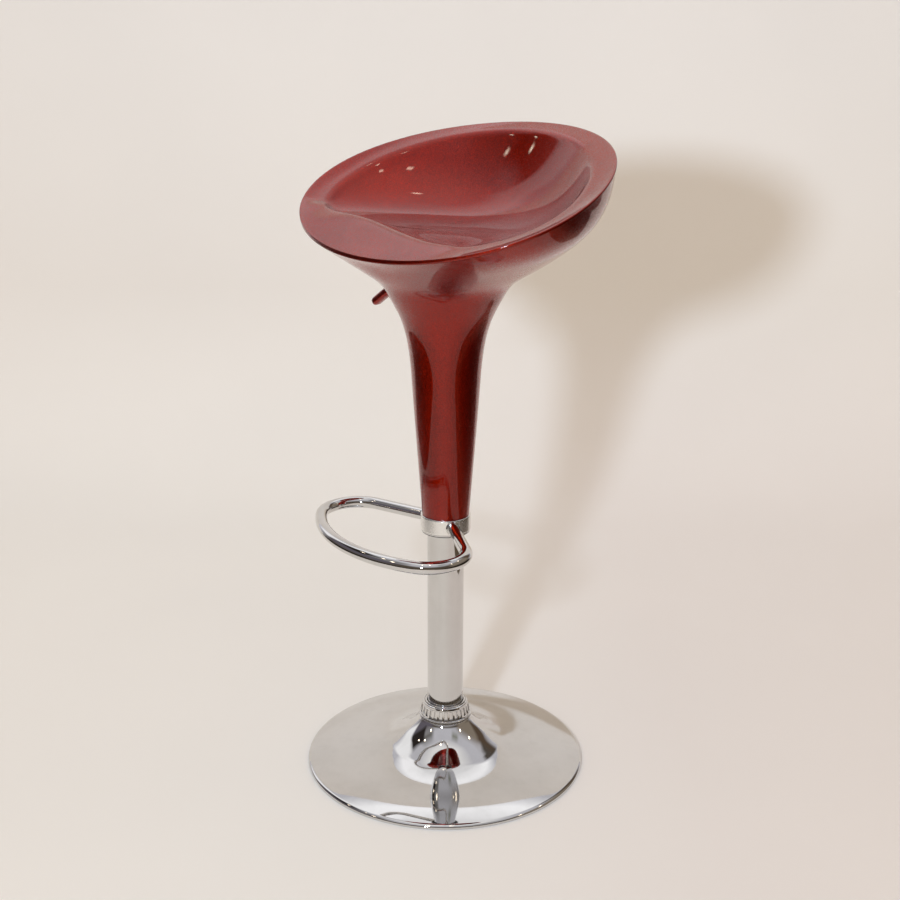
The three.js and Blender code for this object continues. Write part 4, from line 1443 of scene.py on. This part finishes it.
@dataclass
class Lever:
    """The lift lever's grip."""

    rod: Rod = Rod()
    grip_start: float = 92.0
    grip_end: float = 134.0
    width: float = 16.0
    thickness: float = 12.0
    squareness: float = 2.6
    end_width: float = 0.7
    end_thickness: float = 0.8
    end_round: float = 1.2
    widened: float = 0.55
    thickened: float = 0.6
    tip_power: float = 0.8
    socket_radius: float = 3.3
    socket_depth: float = 30.0
    mouth_depth: float = 0.6
    mouth_wider: float = 0.8
    sides: int = 40
    end_rows: int = 3
    rows: int = 30
    tip_rows: int = 12

    def ring(self, along: float, width: float, thickness: float,
             squareness: float) -> list[Vector]:
        """Draws a ring of the grip, between an ellipse and a rectangle.

        Args:
            along: how far along the grip it lies.
            width: its width.
            thickness: its thickness.
            squareness: 2 for an ellipse, and more for squarer corners.

        Returns:
            The vertices' places.
        """
        places = []
        for angle in round_angles(self.sides):
            c, s = math.cos(angle), math.sin(angle)
            swell = (abs(c) ** squareness + abs(s) ** squareness) ** (-1 / squareness)
            places.append(Vector((along, width / 2 * c * swell, thickness / 2 * s * swell)))
        return places

    def grip(self) -> Mesh:
        """Returns the grip: a rounded paddle with a socket for the rod."""
        length = (self.grip_end - self.grip_start) / math.cos(self.rod.slope)
        tip = self.width / 2
        bore = 2 * self.socket_radius
        mouth = bore + self.mouth_wider
        outside = []
        for i in range(self.end_rows + 1):
            curl = QUARTER_TURN * (i / self.end_rows)
            inset = self.end_round * (1 - math.sin(curl))
            outside.append((self.end_round * (1 - math.cos(curl)),
                            self.width * self.end_width - 2 * inset,
                            self.thickness * self.end_thickness - 2 * inset))
        for i in range(1, self.rows + 1):
            share = i / self.rows
            wide = mix(self.end_width, 1.0, smoothstep(share, 0, self.widened))
            thick = mix(self.end_thickness, 1.0, smoothstep(share, 0, self.thickened))
            outside.append((self.end_round + share * (length - tip - self.end_round),
                            self.width * wide, self.thickness * thick))
        for i in range(1, self.tip_rows):
            curl = QUARTER_TURN * i / self.tip_rows
            outside.append((length - tip + tip * math.sin(curl), self.width * math.cos(curl),
                            self.thickness * math.cos(curl) ** self.tip_power))
        socket = [(self.socket_depth, bore), (self.mouth_depth, bore), (0.0, mouth)]
        mesh = lofted([*(self.ring(along, wide, wide, 2.0) for along, wide in socket),
                       *(self.ring(*row, self.squareness) for row in outside)],
                      LoftEnd.POLES)
        bmesh.ops.transform(mesh, matrix=self.rod.place(self.grip_start, math.pi),
                            verts=mesh.verts)
        bmesh.ops.recalc_face_normals(mesh, faces=mesh.faces[:])
        return mesh

    def build(self, finishes: Finishes) -> None:
        """Adds the lever's pieces.

        Args:
            finishes: the stool's finishes.
        """
        add_piece(self.grip(), "lever_paddle", finishes[Slot.RED], Body.LEVER,
                  ["lever_grip"], sharp=50)


def dress_nodes(finishes: Finishes) -> None:
    """Gives each CAD node the finish of its slot in the record.

    Args:
        finishes: the stool's finishes.
    """
    slots = {part["node"]: part["material_slot"] for part in frame["record"]["subparts"]}
    for name, node in frame["nodes"].items():
        material = finishes[Slot(slots[name])]
        for material_slot in node.material_slots:
            material_slot.material = material
    LOG.info("dressed %d CAD nodes", len(frame["nodes"]))


# The studio


LAMP: Colour = (14.0, 11.8, 9.2)


@dataclass(frozen=True)
class Patch:
    """A soft-edged patch of painted reflection on the room's dome, in degrees, its bearing
    clockwise from straight away.
    """

    bearing: float
    rise: float
    half_width: float
    half_height: float
    soft: float
    colour: Colour


@dataclass
class Studio:
    """The pale sheet, the lights and the camera, laid out in metres from the camera's side.

    Places are given with x to the camera's right, y away from it and z up, and are turned
    about the column to the object's own directions.
    """

    turn: float = math.radians(43)
    camera_m: Triple = (0.0, -1.701, 0.989)
    pitch: float = math.radians(17.389)
    yaw: float = math.radians(0.184)
    roll: float = math.radians(0.224)
    lens: float = 53.4
    film: float = 36.0
    wall_back_m: float = 2.0
    wall_top_m: float = 2.55
    sweep_m: float = 1.1
    sweep_steps: int = 12
    sheet_half_m: float = 1.62
    sheet_front_m: float = -6.0
    floor_half_m: float = 7.0
    floor_drop_m: float = 0.002
    backdrop: Colour = (0.77, 0.73, 0.68)
    sheet_colour: Colour = (0.80, 0.775, 0.74)
    sheet_shade: float = 0.975
    # Painted light: the sheet's glow, bluish on the floor and weaker towards the camera's right
    # and up the wall
    wall_glow: Colour = (0.0, 0.02, 0.05)
    wall_from_m: Point = (0.0, 0.36)
    floor_glow: Colour = (0.09, 0.128, 0.172)
    right_glow: Colour = (0.055, 0.075, 0.125)
    right_from_m: Point = (-0.1, 0.35)
    # The flags are painted shade in the reflections: a dark floor beside the sheet, darker
    # further to either side
    flag_height_m: float = 0.004
    shade_near: Colour = (0.15, 0.125, 0.10)
    shade_far: Colour = (0.012, 0.011, 0.010)
    shade_fade_m: Point = (0.86, 1.06)
    flag_right_m: tuple[Point, ...] = (
        (0.69, -4.0), (3.4, -4.0), (3.4, 1.9), (1.3, 1.9), (0.9, 1.1), (0.69, 0.45))
    flag_left_m: tuple[Point, ...] = (
        (-1.0, -4.0), (-1.0, 0.9), (-1.45, 1.9), (-3.4, 1.9), (-3.4, -4.0))
    ambient: Colour = (0.74, 0.60, 0.44)
    # The dome's colours are painted reflections: the ceiling everywhere, with patches of the room
    # and its lamps over it
    dome_radius_m: float = 3.2
    ceiling: Colour = (0.63, 0.62, 0.66)
    key_place_m: Triple = (-0.43, -1.7, 1.08)
    key_aim_m: Triple = (0.05, 0.1, 0.45)
    key_size_m: float = 0.14
    key_power: float = 4.1
    key_colour: Colour = (0.72, 0.84, 1.0)
    patches: tuple[Patch, ...] = (
        Patch(180, 15, 125, 24, 10, (0.10, 0.08, 0.06)),
        Patch(88, 28, 34, 18, 8, (0.28, 0.23, 0.18)),
        Patch(-88, 24, 34, 14, 8, (0.14, 0.125, 0.15)),
        Patch(134, 57, 13, 5, 5, (0.30, 0.30, 0.26)),
        Patch(0, 90, 180, 20, 6, (1.0, 0.98, 0.97)),
        Patch(-104, 50, 20, 8, 7, (0.20, 0.19, 0.18)),
        Patch(-75, 43, 17, 11, 3, (0.030, 0.024, 0.022)),
        Patch(-10, 56, 46, 7, 3, (1.23, 1.22, 1.24)),
        Patch(10, 66, 30, 7, 5, (0.95, 0.94, 0.95)),
        Patch(-50, 36, 8, 20, 2.5, (1.10, 1.09, 1.10)),
        Patch(47, 44, 7, 9, 2, (0.10, 0.085, 0.072)),
        Patch(52, 27, 9, 15, 4, (0.11, 0.075, 0.05)),
        Patch(-114, 44, 1.4, 1.1, 0.9, LAMP),
        Patch(-94, 53, 1.2, 0.8, 0.7, LAMP),
        Patch(-77, 47, 1.0, 0.7, 0.6, LAMP),
        Patch(82, 45, 1.3, 1.1, 0.9, LAMP),
        Patch(110, 43, 1.6, 1.1, 0.9, LAMP),
        Patch(170, 72, 3.0, 0.8, 0.7, LAMP),
        Patch(-155, 71, 3.0, 0.8, 0.7, LAMP),
        Patch(-48, 80, 3.5, 0.7, 0.6, LAMP),
    )

    def placed(self, place: Sequence[float]) -> Vector:
        """Turns a studio place to the object's directions."""
        return Matrix.Rotation(self.turn, 3, "Z") @ Vector(place)

    def own_axes(self, sheet: Sheet, place: Socket) -> bpy.types.NodeOutputs:
        """Turns a place back from the object's directions to the camera's.

        Args:
            sheet: the material's sheet.
            place: the place.

        Returns:
            Its parts to the camera's right, away from it and up.
        """
        turned = sheet.add("VectorRotate", rotation_type="Z_AXIS", Angle=-self.turn,
                           Vector=place)
        return sheet.add("SeparateXYZ", Vector=turned.outputs[0]).outputs

    def add_stage(self, mesh: Mesh, name: str, material: Material,
                  seen: bool = True) -> None:
        """Adds a stage object.

        Args:
            mesh: its mesh in studio metres, which is freed.
            name: its name.
            material: its material.
            seen: whether more than the mirrored rays see it.
        """
        bmesh.ops.transform(mesh, matrix=Matrix.Rotation(self.turn, 4, "Z"), verts=mesh.verts)
        stage = as_object(mesh, name)
        stage.data.shade_smooth()
        stage.data.materials.append(material)
        stage.visible_camera = stage.visible_diffuse = stage.visible_shadow = seen

    def cloth(self) -> Material:
        """Makes the sheet's cloth, which glows a little so that it is evenly lit: painted light,
        weaker towards the camera's right and up the wall.

        Returns:
            The material.
        """
        material, sheet, shader, place = new_material("studio_sheet")
        cloud = sheet.add("TexNoise", Scale=1.7, Detail=2.0, Vector=place)
        darker = tuple(self.sheet_shade * part for part in self.sheet_colour)
        tone = sheet.mixed(sheet.ranged(cloud.outputs["Fac"], 0.3, 0.7), self.sheet_colour,
                           darker)
        right, _, up = self.own_axes(sheet, place)
        # painted light: the cloth glows, less towards the camera's right and up the wall
        glow = sheet.mixed(sheet.ranged(right, *self.right_from_m), self.floor_glow,
                           self.right_glow)
        glow = sheet.mixed(sheet.ranged(up, *self.wall_from_m), glow, self.wall_glow)
        sheet.feed(shader, Base_Color=tone, Roughness=0.9, Specular_IOR_Level=0.1,
                   Emission_Color=glow, Emission_Strength=1.0)
        return material

    def sheet(self) -> None:
        """Adds the sheet, a floor that sweeps up into a wall, and a wider floor under it."""
        profile = [(self.sheet_front_m, 0.0), (0.0, 0.0)]
        for i in range(self.sweep_steps + 1):
            angle = QUARTER_TURN * i / self.sweep_steps
            profile.append((self.wall_back_m - self.sweep_m * (1 - math.sin(angle)),
                            self.sweep_m * (1 - math.cos(angle))))
        profile.append((self.wall_back_m, self.wall_top_m))
        mesh = bmesh.new()
        verts = [mesh.verts.new((-self.sheet_half_m, y, z)) for y, z in profile]
        edges = [mesh.edges.new(pair) for pair in zip(verts, verts[1:])]
        made = bmesh.ops.extrude_edge_only(mesh, edges=edges)["geom"]
        moved = [item for item in made if isinstance(item, bmesh.types.BMVert)]
        bmesh.ops.translate(mesh, vec=(2 * self.sheet_half_m, 0, 0), verts=moved)
        cloth = self.cloth()
        self.add_stage(mesh, "studio_sheet", cloth)
        mesh = bmesh.new()
        bmesh.ops.create_grid(mesh, x_segments=1, y_segments=1, size=self.floor_half_m)
        bmesh.ops.translate(mesh, vec=(0, 0, -self.floor_drop_m), verts=mesh.verts)
        self.add_stage(mesh, "studio_floor", cloth)

    def flags(self) -> None:
        """Adds painted shade beside the sheet: a dark floor that only mirrored rays see, darker
        further to either side.
        """
        material, sheet, shader, place = new_material("studio_flag")
        # painted shade: darker the further aside from the sheet
        aside = sheet.math("ABSOLUTE", self.own_axes(sheet, place)[0])
        tone = sheet.mixed(sheet.ranged(aside, *self.shade_fade_m), self.shade_near,
                           self.shade_far)
        sheet.feed(shader, Base_Color=tone, Roughness=1.0, Specular_IOR_Level=0.0)
        for name, outline in (("flag_right", self.flag_right_m),
                              ("flag_left", self.flag_left_m)):
            mesh = bmesh.new()
            mesh.faces.new([mesh.verts.new((x, y, self.flag_height_m)) for x, y in outline])
            self.add_stage(mesh, name, material, seen=False)

    def room(self) -> None:
        """Adds the room as a glowing dome, which only mirrored rays see: painted reflections of
        the ceiling, the room's bright and dark parts and its lamps.
        """
        material, sheet, shader, place = new_material("studio_room")
        right, away, up = self.own_axes(sheet, place)
        bearing = sheet.math("DEGREES", sheet.math("ARCTAN2", right, away))
        out = sheet.math("SQRT", sheet.math("ADD", sheet.math("MULTIPLY", right, right),
                                            sheet.math("MULTIPLY", away, away)))
        rise = sheet.math("DEGREES", sheet.math("ARCTAN2", up, out))
        colour: object = self.ceiling
        for patch in self.patches:
            aside = sheet.math("WRAP", sheet.math("SUBTRACT", bearing, patch.bearing), 180.0,
                               -180.0)
            above = sheet.math("SUBTRACT", rise, patch.rise)
            shares = [sheet.ranged(sheet.math("ABSOLUTE", apart), half + patch.soft,
                                   half - patch.soft)
                      for apart, half in ((aside, patch.half_width),
                                          (above, patch.half_height))]
            colour = sheet.mixed(sheet.math("MULTIPLY", *shares), colour, patch.colour)
        sheet.feed(shader, Base_Color=(0.0, 0.0, 0.0), Specular_IOR_Level=0.0,
                   Emission_Strength=1.0, Emission_Color=colour)
        material.cycles.emission_sampling = "NONE"
        mesh = bmesh.new()
        bmesh.ops.create_uvsphere(mesh, u_segments=64, v_segments=32, radius=self.dome_radius_m)
        self.add_stage(mesh, "studio_room", material, seen=False)

    def key_light(self) -> None:
        """Adds the key light, whose strength is the same near and far."""
        data = bpy.data.lights.new("key", "AREA")
        data.energy = self.key_power
        data.color = self.key_colour
        data.shape = "DISK"
        data.size = self.key_size_m
        data.use_nodes = True
        sheet = Sheet(data.node_tree)
        falloff = sheet.add("LightFalloff", Strength=1.0)
        glow = sheet.add("Emission", Strength=falloff.outputs["Constant"])
        sheet.add("OutputLight", Surface=glow.outputs[0])
        key = bpy.data.objects.new("key", data)
        bpy.context.scene.collection.objects.link(key)
        key.location = self.placed(self.key_place_m)
        aim = self.placed(self.key_aim_m) - key.location
        key.rotation_euler = aim.to_track_quat("-Z", "Y").to_euler()
        key.visible_camera = False

    def world(self) -> None:
        """Makes the world's soft warm light, with a plain backdrop past the sheet."""
        world = bpy.data.worlds.new("studio")
        bpy.context.scene.world = world
        world.use_nodes = True
        sheet = Sheet(world.node_tree)
        seen = sheet.add("LightPath").outputs["Is Camera Ray"]
        light = sheet.add("Background", Color=sheet.mixed(seen, self.ambient, self.backdrop))
        sheet.add("OutputWorld", Surface=light.outputs[0])

    def camera(self) -> None:
        """Adds the camera at the photograph's viewpoint."""
        data = bpy.data.cameras.new("camera")
        data.lens = self.lens
        data.sensor_fit = "HORIZONTAL"
        data.sensor_width = self.film
        forward = Vector((math.sin(self.yaw) * math.cos(self.pitch),
                          math.cos(self.yaw) * math.cos(self.pitch), -math.sin(self.pitch)))
        right = Vector((math.cos(self.yaw), -math.sin(self.yaw), 0.0))
        up = right.cross(forward)
        right, up = (right * math.cos(self.roll) + up * math.sin(self.roll),
                     up * math.cos(self.roll) - right * math.sin(self.roll))
        columns = Matrix((self.placed(right), self.placed(up), -self.placed(forward)))
        camera = bpy.data.objects.new("camera", data)
        camera.matrix_world = (Matrix.Translation(self.placed(self.camera_m))
                               @ columns.transposed().to_4x4())
        bpy.context.scene.collection.objects.link(camera)
        bpy.context.scene.camera = camera

    def build(self) -> None:
        """Sets up the whole studio."""
        self.camera()
        self.sheet()
        self.flags()
        self.room()
        self.key_light()
        self.world()
        settings = bpy.context.scene.view_settings
        settings.view_transform = "Standard"
        settings.look = "None"
        bpy.context.scene.cycles.use_denoising = True
        LOG.info("studio ready")


def main() -> None:
    """Builds the stool and its studio."""
    logging.basicConfig(level=logging.INFO, format="%(name)s: %(message)s")
    Studio().build()
    finishes = Finishes()
    dress_nodes(finishes)
    for part in (Base(), Column(), Footrest(), Seat(), Lever()):
        LOG.info("building %s", type(part).__name__)
        part.build(finishes)


if __name__ == "__main__":
    main()
